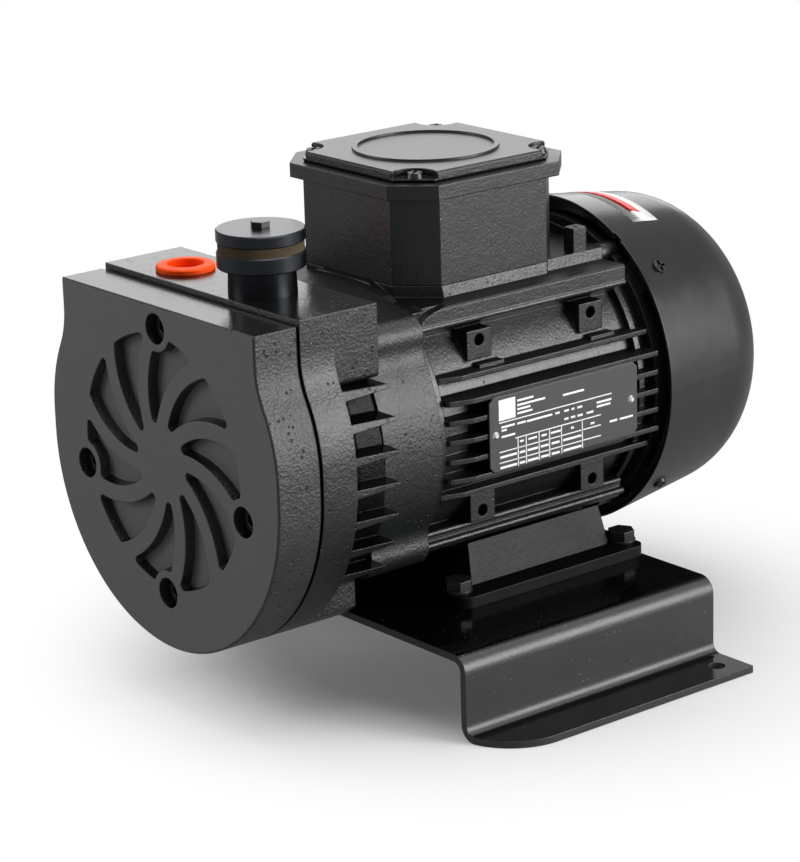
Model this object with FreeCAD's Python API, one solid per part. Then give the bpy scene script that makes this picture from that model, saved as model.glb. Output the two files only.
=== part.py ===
"""Dry rotary vane vacuum pump on the end of a foot-mounted electric motor, standing on a sheet steel bracket.

Units are millimetres. Every piece is drawn about the motor shaft: X points to the right seen from the pump's
front cover, Y runs along the shaft from the pump (negative) to the fan (positive), Z is up, and zero lies
midway between the motor's foot bolts. save() then carries a piece to the part's own frame, whose origin lies
on the floor midway between the bracket's two fixing holes.
"""
import FreeCAD
import Part
import math
import os

V = FreeCAD.Vector

# Fits and clearances
nest_gap = 0.05
run_gap = 0.10
face_gap = 0.15

# Motor of frame size 71
shaft_height = 71.0
foot_pitch_x = 112.0
foot_pitch_y = 90.0
flange_y = -89.0
frame_front_y = -60.0
frame_rear_y = 58.0

# Base bracket
sheet = 3.0
bracket_height = 35.0
bracket_half_x = 106.0
bracket_front_y = -84.0
bracket_rear_y = 50.0
bracket_bend_in = 4.0
bracket_flange_half_x = 129.0
bracket_corner_r = 27.0
fixing_pitch_x = 238.0
fixing_y = 39.0
fixing_hole_r = 3.5

# Motor foot
foot_plate_t = 5.0
foot_plate_half_x = 66.0
foot_plate_half_y = 50.0
foot_corner_r = 5.0
foot_window_side = 8.0
foot_window_end = 14.0
foot_leg_out_x = 55.0
foot_leg_top_x = 50.6
foot_leg_in_x = 29.5
foot_leg_wall = 4.5
foot_lip_wall = 2.0
foot_leg_end_wall = 1.2
foot_leg_half_y = 37.8
foot_leg_slope_y = 2.0
foot_lip_z = -49.5

# Foot bolts
overrun = 1.0
m6_r = 3.0
m6_hole_r = 3.5
m6_af = 10.0
m6_head = 4.0
m6_nut = 5.0
m6_washer_r = 6.0
m6_washer_t = 1.2
m5_r = 2.5
m5_hole_r = 2.8
m5_head_r = 4.25
m5_head = 5.0
m6_cap_r = 5.0
m6_cap = 6.0

# Motor frame
barrel_r = 59.3
bore_r = 54.6
front_collar_r = 63.0
front_collar_len = 5.0
front_cut_depth = 12.0
arch_r = 216.8
arch_top_z = 57.1
rear_collar_r = 64.0
rear_ring_r = 62.5
rear_ring_y = (50.0, 53.0)
side_fin_count = 7
side_fin_pitch = 8.05
side_fin_tip_x = 67.4
side_fin_last_x = 60.8
side_fin_root_t = 3.4
side_fin_tip_t = 2.0
side_fin_ramp_y = 11.0
side_fin_nose = 4.2
side_fin_blunt = (2.0, 2.5)
side_fin_rear_gap = 2.0
ridge_in_x = 27.0
ridge_side_x = 54.2
ridge_top_z = 52.6
ridge_edge = 0.8
ridge_bead_z = 45.2
ridge_bead_x = 54.8
ridge_under = ((51.8, 43.2), (44.5, 39.2))
ridge_nose_x = 49.6
ridge_nose = ((0.0, 46.5), (1.6, 48.1), (3.4, 49.4), (5.6, 50.6), (8.2, 51.5), (11.2, 52.1),
              (14.5, ridge_top_z))
low_ridge = ((40.0, -39.2), (49.0, -40.3), (50.2, -41.6), (50.2, -45.6), (49.5, -48.4), (48.5, -49.2),
             (40.0, -49.2))
low_rail_z = (-41.6, -45.6)
low_rail_x = (50.6, 52.6)
rail_t = 2.6
ridge_rear_gap = 8.0
pad_x = 53.7
pad_len = 12.7
pad_low_z = 28.0
pad_top_z = 40.0
pad_hole_z = 35.8
pad_mid_y = 1.0
pad_pitch_y = 60.0
pad_hole_r = 2.5
pad_hole_depth = 9.0
ledge_t = 1.8
ledge_len = 13.0
ledge_x = 57.6
ledge_drop = 1.4
ledge_shift = 3.0

# Saddle under the terminal box
box_mid_y = -10.0
box_half = 42.0
box_corner = 13.9
box_low_z = 57.3
box_rim_low_z = 93.3
box_rim_top_z = 99.2
box_rim_out = 4.0
box_rim_corner = 14.4
box_wall = 3.0
saddle_low_z = 40.0
saddle_flare = 2.5
step_in = 2.5
step_len = 20.0
step_round = 6.0
cable_way_r = 13.0
lug_gap = 3.0
lug_wide = 6.0
lug_long = 7.0
lug_top_z = 67.6
lug_hole_r = 1.0
lug_hole_depth = 6.0
box_screw_inset = 17.0
box_screw_depth = 7.0
box_post_r = 4.5

# Terminal box lid
lid_inset = 1.2
lid_corner = 13.5
lid_gasket_t = 0.8
lid_gasket_inset = 0.3
lid_gasket_in = 3.0
lid_gasket_corner = 5.0
lid_hollow_in = 6.0
lid_t = 3.6
lid_edge = 0.7
lid_floor_t = 0.6
lid_floor_corner = 11.4
lid_screw_inset = 9.4
lid_pocket_out = 3.6
lid_pocket_r = 9.2
lid_hollow = 1.2
lid_ring_r = 30.2
lid_ring_wide = 2.2
lid_ring_high = 0.9
lid_screw_r = 2.0
lid_hole_gap = 0.2
lid_thread_depth = 5.5
lid_head_r = 3.65
lid_head_h = 2.3
pan_slope = 0.8
cross_r = 2.6
cross_wide = 1.2
cross_deep = 1.2
cable_hole_r = 10.0
cable_boss_r = 15.0
cable_boss_len = 4.0
cable_z = 75.0

# Terminal board
board_screw_gap = 1.35
board_half_x = box_half - box_screw_inset - lid_head_r - board_screw_gap
board_y = (14.0, 30.0)
board_low = 8.0
board_t = 6.0
board_foot = 6.0
board_rib_t = 1.6
board_rib_h = 3.0
stud_edge = 7.0
stud_pitch = board_half_x - stud_edge
board_rib_x = stud_pitch / 2
stud_x = (-stud_pitch, 0.0, stud_pitch)
stud_y = (17.5, 26.5)
stud_r = 2.0
stud_sink = 1.0
stud_len = 16.0
stud_nut_af = 7.0
stud_nut_h = 3.0

# Shields
shield_r = 66.5
shield_wall = 5.5
shield_face_t = 7.0
shield_lug_r = 8.0
shield_blend_r = 12.0
shield_hub_wall = 6.0
shield_hub_tail = 1.0
shield_rim_land = 6.0
spigot_wall = 4.0
screw_pillar_r = 6.0
screw_pillar_len = 8.0
head_slack = 0.3
shield_lug_x = 48.5
shield_lug_z = 43.6
tie_x = 46.8
tie_z = 45.3
spigot_len = 4.0
rear_shield_len = 8.0
rear_hub_wall = 5.0
rear_rim_land = 2.0
ear_root = 4.0
ear_half = 7.0
ear_len = 20.0
cowl_screw_y = 71.5
cowl_screw_angle = 42.5
cowl_head_r = 3.6
cowl_head_h = 1.5
cowl_screw_len = 9.0
tie_screw_len = 32.0
frame_boss_wall = 1.9
rear_tie_r = 62.4
rear_tie_angle = 58.0
rear_head_r = 3.9
rear_head_h = 3.0
rear_screw_len = 16.0

# Shaft and bearings
bearing_bore_r = 7.5
bearing_out_r = 17.5
bearing_len = 11.0
bearing_pitch_r = 12.5
ball_r = 2.975
ball_count = 7
bearing_in_shoulder = 10.2
bearing_out_shoulder = 14.8
ball_gap = 0.08
cage_in_r = 11.3
cage_out_r = 13.7
cage_half = 3.9
front_bearing_y = -83.0
rear_bearing_y = 49.5
wave_t = 1.5
shaft_end_r = 7.0
shaft_end_len = 30.0
shaft_mid_r = 9.0
shaft_core_r = 11.0
shaft_core_over = (15.0, 6.0)
shaft_thread_len = 12.0
shaft_fan_r = 6.5
fan_clip_y = 99.0
clip_t = 1.2
clip_wide = 4.0
shaft_tail = 4.0
shaft_slack = 1.5
core_front_y = -25.0
core_rear_y = 35.0
air_gap = 0.4
rotor_core_r = 29.6
slot_count = 18
slot_depth = 14.0
slot_wide = 5.0
slot_shut = 2.0
end_turn_len = 18.0
end_turn_r = (34.0, 50.0)
end_turn_edge = 3.0
cage_ring_len = 6.0
cage_ring_r = (19.0, 27.5)

# Fan and cowl
fan_hub_r = 15.0
fan_r = 60.0
fan_front_y = 83.0
fan_disc_t = 2.5
fan_disc_r = 34.0
fan_blades = 8
fan_blade_t = 2.4
fan_blade_drop = 2.0
fan_trim = (14.0, 10.0)
cowl_front_y = 60.0
cowl_rim_r = 71.3
cowl_bend_y = 105.0
cowl_taper = 0.135
cowl_corner_r = 32.0
cowl_wall = 1.5
grille_rings = ((9.0, 13.0), (17.0, 21.0), (25.0, 29.0), (35.0, 39.5), (44.0, 48.5))
grille_spokes = 6
grille_spoke = 5.0
notch_angle = 57.0
notch_wide = 5.0
notch_deep = 1.2

# Nameplate
plate_half_z = 15.5
plate_mid_y = 3.2
plate_len = 80.0
plate_t = 0.8
plate_corner = 2.2
rivet_inset = 3.25
rivet_z = -0.25
rivet_r = 1.7
rivet_h = 0.8
rivet_shank_r = 0.7
rivet_len = 5.0

# Pump housing and cover outline
outline_half_x = 64.5
outline_r = 76.0
outline_z = -3.0
shoulder_top_z = 50.0
shoulder_low_z = 5.0
shoulder_inner_r = 33.0
housing_top_z = 64.2
cover_top_z = 62.0
housing_front_y = -126.5
band_rear_y = -110.3
housing_core_r = 66.5
housing_cove = 9.0
block_low_z = 34.4
block_round = 2.5
rib_z = (32.1, 20.0, 7.2, -5.8, -18.8, -31.2, -42.7)
rib_root_t = 3.6
rib_tip_t = 1.6
belly_half_x = 44.9
gasket_t = 1.0
gasket_inset = 1.2
cover_len = 20.5
cover_edge = 0.7

# Vane chamber
eccentricity = 3.0
chamber_r = 45.0
chamber_back_y = -97.0
chamber_top_gap = 0.15
vane_count = 4
vane_t = 4.0
vane_high = 19.0
vane_lean = 9.0
vane_slack = 1.5
rotor_bore_r = 7.0
washer_recess_r = 12.0
washer_gap = 0.2
washer_t = 2.0
rotor_screw_head = 4.0
rotor_screw_len = 12.0
key_setback = 2.0
key_wide = 5.0
key_high = 5.0
key_deep = 3.0
key_len = 18.0
seal_r = 13.0
seal_len = 6.0

# Screws of the pump
housing_screw_angle = 35.0
housing_screw_circle_r = 54.5
cover_screw_r = 54.3
cover_screw_low = 12.7
cover_screw_z = -1.5
cover_bore_r = 6.25
cover_bore_depth = 10.0
cover_boss_r = 9.2
cover_thread_len = 14.0

# Swirl on the cover
swirl_r = 51.9
swirl_depth = 4.5
swirl_hub_r = 15.5
swirl_hub_x = -0.5
swirl_ribs = 10
swirl_arc_r = 42.5
swirl_rib_wide = 6.9
swirl_start_angle = 94.5
swirl_round = 1.3
swirl_draft = 0.7

# Ports, plug and silencer
port_y = -109.4
inlet_x = -32.5
outlet_x = 19.2
port_thread_r = 8.3
port_thread_len = 15.0
port_hole_r = 5.5
plug_flange_r = 12.0
plug_flange_t = 2.2
plug_hole_r = 7.4
plug_stem_len = 11.0
plug_edge = 0.6
plug_end_t = 1.2
silencer_neck_r = (13.3, 13.7)
silencer_disc_r = 17.6
silencer_neck_top = 74.6
silencer_disc_top = 81.2
felt_r = 17.0
felt_t = 3.7
felt_hole_r = 8.6
cap_t = 5.0
silencer_head_af = 7.0
silencer_head_h = 2.6
silencer_thread_r = 2.5
silencer_stem_len = 12.0
silencer_edge = 0.5
silencer_roof = 9.0
silencer_grip = 7.0
vent_count = 6
vent_r = 1.5

# Derived places
bracket_top_z = -shaft_height
floor_z = bracket_top_z - bracket_height
foot_plate_top_z = bracket_top_z + foot_plate_t
foot_deck_z = -pad_x
foot_deck_t = foot_leg_wall
gasket_front_y = housing_front_y - gasket_t
cover_front_y = gasket_front_y - cover_len
rotor_front_y = gasket_front_y + face_gap
rotor_rear_y = chamber_back_y - face_gap
pump_rotor_r = chamber_r - eccentricity - chamber_top_gap
chamber_z = -eccentricity
shaft_end_y = flange_y - shaft_end_len
box_front_y = box_mid_y - box_half
box_rear_y = box_mid_y + box_half
box_rim_half = box_half + box_rim_out
step_half = box_half - step_in
step_rear_y = box_rear_y + step_len
lug_x = step_half - lug_wide / 2
lug_y = box_rear_y + lug_gap + lug_long / 2
lid_half = box_half - lid_inset
lid_screw = box_half - lid_screw_inset
rear_tie_x = rear_tie_r * math.cos(math.radians(rear_tie_angle))
rear_tie_z = rear_tie_r * math.sin(math.radians(rear_tie_angle))
cowl_bend_r = cowl_rim_r - cowl_taper * (cowl_bend_y - cowl_front_y)
lid_low_z = box_rim_top_z + lid_gasket_t
lid_top_z = lid_low_z + lid_t
felt_low_z = silencer_disc_top
cap_low_z = felt_low_z + felt_t
cap_top_z = cap_low_z + cap_t


def save(shape, name):
    """Carries a piece to the part's own frame and writes it."""
    moved = shape.copy()
    moved.translate(V(0, -fixing_y, -floor_z))
    moved.exportStep("parts/" + name + ".step")


def rod(r, y0, y1, x=0.0, z=0.0):
    """Cylinder along the shaft."""
    return Part.makeCylinder(r, y1 - y0, V(x, y0, z), V(0, 1, 0))


def post(r, z0, z1, x, y):
    """Upright cylinder."""
    return Part.makeCylinder(r, z1 - z0, V(x, y, z0), V(0, 0, 1))


def tube(r_out, r_in, y0, y1, x=0.0, z=0.0):
    return rod(r_out, y0, y1, x, z).cut(rod(r_in, y0, y1, x, z))


def block(x0, x1, y0, y1, z0, z1):
    return Part.makeBox(x1 - x0, y1 - y0, z1 - z0, V(x0, y0, z0))


def turned(points):
    """Solid of revolution about the shaft from (radius, y) points."""
    wire = Part.makePolygon([V(r, y, 0) for r, y in points + points[:1]])
    return Part.Face(wire).revolve(V(0, 0, 0), V(0, 1, 0), 360)


def turned_up(points, x, y):
    """Solid of revolution about an upright line from (radius, z) points."""
    wire = Part.makePolygon([V(r, 0, z) for r, z in points + points[:1]])
    shape = Part.Face(wire).revolve(V(0, 0, 0), V(0, 0, 1), 360)
    shape.translate(V(x, y, 0))
    return shape


def slab(points, y0, y1):
    """Profile of (x, z) points drawn out along the shaft."""
    wire = Part.makePolygon([V(x, y0, z) for x, z in points + points[:1]])
    return Part.Face(wire).extrude(V(0, y1 - y0, 0))


def plan(points, z0, z1):
    """Profile of (x, y) points drawn upwards."""
    wire = Part.makePolygon([V(x, y, z0) for x, y in points + points[:1]])
    return Part.Face(wire).extrude(V(0, 0, z1 - z0))


def across(points, x0, x1):
    """Profile of (y, z) points drawn out to the right."""
    wire = Part.makePolygon([V(x0, y, z) for y, z in points + points[:1]])
    return Part.Face(wire).extrude(V(x1 - x0, 0, 0))


def spun(shape, angle):
    """Copy turned about the shaft, from +X towards +Z."""
    out = shape.copy()
    out.rotate(V(0, 0, 0), V(0, 1, 0), -angle)
    return out


def other_side(shape):
    return shape.mirror(V(0, 0, 0), V(1, 0, 0))


def both_sides(shape):
    return [shape, other_side(shape)]


def joined(shapes):
    whole = shapes[0].multiFuse(shapes[1:])
    return whole.removeSplitter()


def cut_all(shape, tools):
    return shape.cut(tools)


def group(shapes):
    return Part.makeCompound(shapes)


def hexagon(across, z0, z1, x, y):
    corner = across / math.sqrt(3)
    points = []
    for k in range(6):
        angle = math.radians(60 * k + 30)
        points.append((x + corner * math.cos(angle), y + corner * math.sin(angle)))
    return plan(points, z0, z1)


def edges_where(shape, test):
    return [e for e in shape.Edges if test(e)]


def runs_along(edge, axis):
    """True for a straight edge parallel to an axis, 0 for X, 1 for Y or 2 for Z."""
    if len(edge.Vertexes) != 2 or not isinstance(edge.Curve, Part.Line):
        return False
    step = edge.Vertexes[1].Point - edge.Vertexes[0].Point
    return abs(abs(step[axis]) - step.Length) < 1e-6


def lies_on(edge, x, z):
    """True for an edge along the shaft through the given place."""
    start = edge.Vertexes[0].Point
    return runs_along(edge, 1) and abs(start.x - x) < 1e-6 and abs(start.z - z) < 1e-6


def bevelled_square(half, corner, z0, z1, y_mid):
    """Square block about the terminal box's upright line with its corners cut off."""
    h = half
    c = half - corner
    points = [(h, -c), (h, c), (c, h), (-c, h), (-h, c), (-h, -c), (-c, -h), (c, -h)]
    return plan([(x, y + y_mid) for x, y in points], z0, z1)


def at_tie_screws(shape):
    """A piece drawn at the upper right tie screw, repeated at all four."""
    upper = both_sides(shape)
    lower = [s.mirror(V(0, 0, 0), V(0, 0, 1)) for s in upper]
    return upper + lower


def socket_screw(head_r, head_h, r, length, y_head, x, z):
    """Socket head screw along +Y whose head starts at y_head."""
    body = rod(head_r, y_head, y_head + head_h, x, z)
    shank = rod(r, y_head + head_h, y_head + head_h + length, x, z)
    socket = hexagon(head_r, 0.0, head_h * 0.6, 0.0, 0.0)
    socket.rotate(V(0, 0, 0), V(1, 0, 0), -90)
    socket.translate(V(x, y_head, z))
    return body.fuse(shank).cut(socket)


# Base bracket and foot


def bracket_shape():
    low = floor_z
    top = bracket_top_z
    x_wall = bracket_half_x
    x_out = bracket_flange_half_x
    s = sheet
    half = [(0, top - s), (x_wall - s, top - s), (x_wall - s, low), (x_out, low), (x_out, low + s),
            (x_wall, low + s), (x_wall, top), (0, top)]
    side = slab(half, bracket_front_y, bracket_rear_y)
    outer_r = bracket_bend_in + s
    for radius, x, z in ((outer_r, x_wall, top), (bracket_bend_in, x_wall - s, top - s),
                         (outer_r, x_wall - s, low), (bracket_bend_in, x_wall, low + s)):
        side = side.makeFillet(radius, edges_where(side, lambda e: lies_on(e, x, z)))
    corner_x = x_out - bracket_corner_r
    corner_y = bracket_front_y + bracket_corner_r
    z0 = low - overrun
    z1 = low + s + overrun
    corner = block(corner_x, x_out + overrun, bracket_front_y - overrun, corner_y, z0, z1)
    side = side.cut(corner.cut(post(bracket_corner_r, z0, z1, corner_x, corner_y)))
    side = side.cut(post(fixing_hole_r, low - 1, low + s + 1, fixing_pitch_x / 2, fixing_y))
    for y in (-foot_pitch_y / 2, foot_pitch_y / 2):
        side = side.cut(post(m6_hole_r, top - s - 1, top + 1, foot_pitch_x / 2, y))
    return joined(both_sides(side))


def rectangle(x0, x1, y0, y1, z):
    return Part.makePolygon([V(x0, y0, z), V(x1, y0, z), V(x1, y1, z), V(x0, y1, z), V(x0, y0, z)])


def foot_leg():
    """Hollow right leg of the foot with sloping outer wall and ends, and a deck under the frame's pads."""
    low = foot_plate_top_z - 0.5
    deck = foot_deck_z
    y0 = pad_mid_y - foot_leg_half_y
    y1 = pad_mid_y + foot_leg_half_y
    step = foot_leg_slope_y
    lip = foot_lip_z
    share = (deck - low) / (lip - low)
    x_low = foot_leg_out_x
    x_top = foot_leg_top_x
    lower = rectangle(foot_leg_in_x, x_low, y0, y1, low)
    upper = rectangle(foot_leg_in_x, x_top, y0 + step, y1 - step, lip)
    leg = Part.makeLoft([lower, upper], True, True)
    x_deck = x_low + (x_top - x_low) * share
    leg = leg.cut(block(0, x_deck - foot_lip_wall, y0 - 1, y1 + 1, deck, lip + 1))
    return leg


def foot_pocket():
    """Space inside the right leg, open downwards through the plate."""
    w = foot_leg_wall
    low = bracket_top_z - 1
    top = foot_deck_z - foot_deck_t
    y0 = pad_mid_y - foot_leg_half_y + foot_leg_slope_y
    y1 = pad_mid_y + foot_leg_half_y - foot_leg_slope_y
    wall = foot_leg_end_wall
    return block(foot_leg_in_x + wall, foot_leg_top_x - w, y0 + wall, y1 - wall, low, top)


def foot_shape():
    plate = block(-foot_plate_half_x, foot_plate_half_x, -foot_plate_half_y, foot_plate_half_y,
                  bracket_top_z, foot_plate_top_z)
    corners = edges_where(plate, lambda e: runs_along(e, 2))
    plate = plate.makeFillet(foot_corner_r, corners)
    foot = joined([plate] + both_sides(foot_leg()))
    tools = both_sides(foot_pocket())
    tools.append(rod(barrel_r + 1.0, -foot_plate_half_y - 1, foot_plate_half_y + 1))
    for x in (-foot_pitch_x / 2, foot_pitch_x / 2):
        for y in (-foot_pitch_y / 2, foot_pitch_y / 2):
            tools.append(post(m6_hole_r, bracket_top_z - 1, foot_plate_top_z + 1, x, y))
    for x, y in pad_places():
        tools.append(post(m5_hole_r, bracket_top_z - 1, foot_deck_z + 1, x, y))
    half_x = foot_leg_in_x - foot_window_side
    half_y = foot_plate_half_y - foot_window_end
    window = block(-half_x, half_x, -half_y, half_y, bracket_top_z - 1, foot_plate_top_z + 1)
    tools.append(window.makeFillet(foot_corner_r, edges_where(window, lambda e: runs_along(e, 2))))
    return cut_all(foot, tools)


def pad_places():
    """The (across, along) places of the holes of one row of four pads."""
    ys = (pad_mid_y - pad_pitch_y / 2, pad_mid_y + pad_pitch_y / 2)
    return [(x, y) for x in (-pad_hole_z, pad_hole_z) for y in ys]


def foot_bolt_parts():
    bolts = []
    washers = []
    nuts = []
    z_seat = foot_plate_top_z + m6_washer_t
    z_under = bracket_top_z - sheet
    for x in (-foot_pitch_x / 2, foot_pitch_x / 2):
        for y in (-foot_pitch_y / 2, foot_pitch_y / 2):
            shank = post(m6_r, z_under - m6_nut - 1.5, z_seat, x, y)
            bolts.append(hexagon(m6_af, z_seat, z_seat + m6_head, x, y).fuse(shank))
            ring = post(m6_washer_r, foot_plate_top_z, z_seat, x, y)
            washers.append(ring.cut(post(m6_r, foot_plate_top_z, z_seat, x, y)))
            nut = hexagon(m6_af, z_under - m6_nut, z_under, x, y)
            nuts.append(nut.cut(post(m6_r, z_under - m6_nut, z_under, x, y)))
    return group(bolts), group(washers), group(nuts)


def foot_screws():
    screws = []
    z_head = foot_deck_z - foot_deck_t
    for x, y in pad_places():
        head = post(m5_head_r, z_head - m5_head, z_head, x, y)
        shank = post(pad_hole_r, z_head, foot_deck_z + pad_hole_depth - 1, x, y)
        socket = hexagon(m5_head_r, z_head - m5_head, z_head - m5_head * 0.4, x, y)
        screws.append(head.fuse(shank).cut(socket))
    return group(screws)


# Motor frame


def side_fin(z, tip_x):
    """Horizontal cooling fin on the right side with a blunt nose, a straight run-up and a thinner tip."""
    y0 = frame_front_y + front_collar_len
    y1 = frame_rear_y - side_fin_rear_gap
    x_in = barrel_r * 0.75
    x_foot = tip_x - side_fin_nose
    out, along = side_fin_blunt
    t = side_fin_root_t
    plate = plan([(x_in, y0), (x_foot, y0), (x_foot + out * 0.7, y0 + along * 0.3),
                  (x_foot + out, y0 + along), (tip_x, y0 + side_fin_ramp_y), (tip_x, y1), (x_in, y1)],
                 z - t / 2, z + t / 2)
    taper = (side_fin_root_t - side_fin_tip_t) / 2
    wedge = slab([(x_in - 1, z - t / 2), (tip_x + 1, z - t / 2 + taper), (tip_x + 1, z + t / 2 - taper),
                  (x_in - 1, z + t / 2)], y0 - 1, y1 + 1)
    return plate.common(wedge)


def low_rail(z, x_tip):
    """Rounded rail along the lower right ridge."""
    y0 = frame_front_y
    y1 = frame_rear_y - ridge_rear_gap
    t = rail_t
    x_in = math.sqrt(barrel_r ** 2 - z ** 2) - 6.0
    bar = block(x_in, x_tip - t / 2, y0, y1, z - t / 2, z + t / 2)
    return bar.fuse(rod(t / 2, y0, y1, x_tip - t / 2, z))


def upper_ridge():
    """Right upper ridge round the tie screws: flat side, a bead along its foot, a nose that drops in front."""
    y0 = frame_front_y
    y1 = frame_rear_y - ridge_rear_gap
    side = ridge_side_x
    top = ridge_top_z
    bead_r = rail_t / 2
    outline = [(ridge_in_x, top), (side - ridge_edge, top), (side, top - ridge_edge), (side, ridge_bead_z)]
    outline += [ridge_under[0], ridge_under[1], (ridge_in_x, ridge_under[1][1])]
    body = slab(outline, y0, y1)
    over_nose = [(y0 - overrun, ridge_nose[0][1])] + [(y0 + dy, z) for dy, z in ridge_nose]
    over_nose += [(y0 + ridge_nose[-1][0], top + overrun), (y0 - overrun, top + overrun)]
    body = body.cut(across(over_nose, ridge_nose_x, side + overrun))
    return body.fuse(rod(bead_r, y0, y1, ridge_bead_x - bead_r, ridge_bead_z))


def lower_ridge():
    """Right lower ridge round the tie screws with its two rails."""
    body = slab(list(low_ridge), frame_front_y, frame_rear_y - ridge_rear_gap)
    return body.fuse([low_rail(z, x) for z, x in zip(low_rail_z, low_rail_x)])


def arch(inset, y0, y1):
    """Round bar whose top is the flat arch that bounds the crown of the frame's front and of the shield."""
    return rod(arch_r - inset, y0, y1, 0.0, arch_top_z - arch_r)


def side_pads():
    pads = []
    for y in (pad_mid_y - pad_pitch_y / 2, pad_mid_y + pad_pitch_y / 2):
        for sign in (1, -1):
            z0, z1 = sorted((sign * pad_low_z, sign * pad_top_z))
            pads.append(block(barrel_r * 0.6, pad_x, y - pad_len / 2, y + pad_len / 2, z0, z1))
        z = pad_low_z - ledge_t - ledge_drop
        start = y - pad_len / 2 + ledge_shift
        pads.append(block(barrel_r * 0.8, ledge_x, start, start + ledge_len, z, z + ledge_t))
    return pads


def low_pads():
    pads = []
    for x, y in pad_places():
        x0, x1 = sorted((math.copysign(pad_low_z, x), math.copysign(pad_top_z, x)))
        pads.append(block(x0, x1, y - pad_len / 2, y + pad_len / 2, -pad_x, -barrel_r * 0.6))
    return pads


def saddle():
    """Seat of the terminal box on the barrel, its walls flaring towards the barrel, and the step behind it."""
    flare = saddle_flare
    seat = flared(box_half, box_front_y, box_rear_y)
    far = box_half + flare + overrun
    c = box_corner
    for sx in (-1, 1):
        for y_edge, sy in ((box_front_y, 1), (box_rear_y, -1)):
            corner = plan([(sx * (box_half - c), y_edge), (sx * far, y_edge + sy * (c + flare + overrun)),
                           (sx * far, y_edge - sy), (sx * (box_half - c), y_edge - sy)],
                          saddle_low_z - overrun, box_low_z + overrun)
            seat = seat.cut(corner)
    limit = block(-box_half, box_half, box_rear_y - step_len, step_rear_y, saddle_low_z, box_low_z)
    limit = limit.makeFillet(step_round, edges_where(limit, lambda e: runs_along(e, 2)))
    step = flared(step_half, box_rear_y - step_len, step_rear_y).common(limit)
    return [seat, step]


def flared(half, y0, y1):
    """Bar under the terminal box whose sides lean outwards towards the barrel."""
    low = half + saddle_flare
    return slab([(-low, saddle_low_z), (low, saddle_low_z), (half, box_low_z), (-half, box_low_z)], y0, y1)


def lifting_lugs():
    lug = block(lug_x - lug_wide / 2, lug_x + lug_wide / 2, lug_y - lug_long / 2, lug_y + lug_long / 2,
                box_low_z - overrun, lug_top_z)
    lug = lug.cut(post(lug_hole_r, lug_top_z - lug_hole_depth, lug_top_z + overrun, lug_x, lug_y))
    return both_sides(lug)


def frame_solids():
    """Barrel, collars, fins, ridges, pads and saddle before any hole is cut."""
    y0 = frame_front_y
    y1 = frame_rear_y
    solids = [rod(barrel_r, y0, y1), rod(front_collar_r, y0, y0 + front_collar_len),
              rod(rear_ring_r, rear_ring_y[0], rear_ring_y[1])]
    half = side_fin_count // 2
    for k in range(-half, half + 1):
        tip = side_fin_last_x if abs(k) == half else side_fin_tip_x
        solids += both_sides(side_fin(k * side_fin_pitch, tip))
    solids += both_sides(upper_ridge())
    solids += both_sides(lower_ridge())
    for pad in side_pads():
        solids += both_sides(pad)
    solids += low_pads() + saddle()
    return solids + at_tie_screws(rod(m5_r + frame_boss_wall, rear_ring_y[0], y1, rear_tie_x, rear_tie_z))


def frame_shape():
    y0 = frame_front_y
    y1 = frame_rear_y
    crown = block(-box_half, box_half, y0 - overrun, step_rear_y, box_low_z, barrel_r * 1.2)
    front = block(-barrel_r * 1.2, barrel_r * 1.2, y0 - overrun, y0 + front_collar_len,
                  ridge_top_z - front_cut_depth, barrel_r * 1.2)
    front = front.cut(arch(0.0, y0 - overrun * 2, y0 + front_collar_len + overrun))
    frame = joined([joined(frame_solids()).cut([crown, front])] + lifting_lugs())
    tools = [rod(bore_r, y0 - overrun, y1 + overrun), post(cable_way_r, 0, box_low_z + overrun, 0, box_mid_y)]
    tools += at_tie_screws(rod(m5_r, y0 - overrun, y0 + tie_reach() + overrun, tie_x, tie_z))
    thread_y = y1 + rear_shield_len - rear_screw_len
    tools += at_tie_screws(rod(m5_r, thread_y, y1 + overrun, rear_tie_x, rear_tie_z))
    for z, y in pad_places():
        hole = Part.makeCylinder(pad_hole_r, pad_hole_depth, V(pad_x - pad_hole_depth, y, z), V(1, 0, 0))
        tools += both_sides(hole)
    for x, y in pad_places():
        tools.append(post(pad_hole_r, -pad_x, -pad_x + pad_hole_depth, x, y))
    for x, y in box_screw_places():
        tools.append(post(lid_screw_r, box_low_z - box_screw_depth, box_low_z + overrun, x, y))
    tools += plate_rivet_shapes(0.0)
    return cut_all(frame, tools)


def tie_reach():
    """How far a front tie screw reaches into the frame."""
    return tie_head_y() + m5_head + tie_screw_len - frame_front_y


def stator_parts():
    core = rod(bore_r - nest_gap, core_front_y, core_rear_y)
    inner_r = rotor_core_r + air_gap
    tools = [rod(inner_r, core_front_y - 1, core_rear_y + 1)]
    for k in range(slot_count):
        slot = block(inner_r + slot_shut, inner_r + slot_shut + slot_depth, core_front_y - overrun,
                     core_rear_y + overrun, -slot_wide / 2, slot_wide / 2)
        tools.append(spun(slot, 360.0 * k / slot_count))
    core = cut_all(core, tools)
    r_in, r_out = end_turn_r
    turns = []
    e = end_turn_edge
    for y, step in ((core_front_y, -end_turn_len), (core_rear_y, end_turn_len)):
        far = y + step
        back = far - math.copysign(e, step)
        turns.append(turned([(r_in, y), (r_out, y), (r_out, back), (r_out - e, far), (r_in + e, far),
                             (r_in, back)]))
    return core, group(turns)


# Shields


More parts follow.
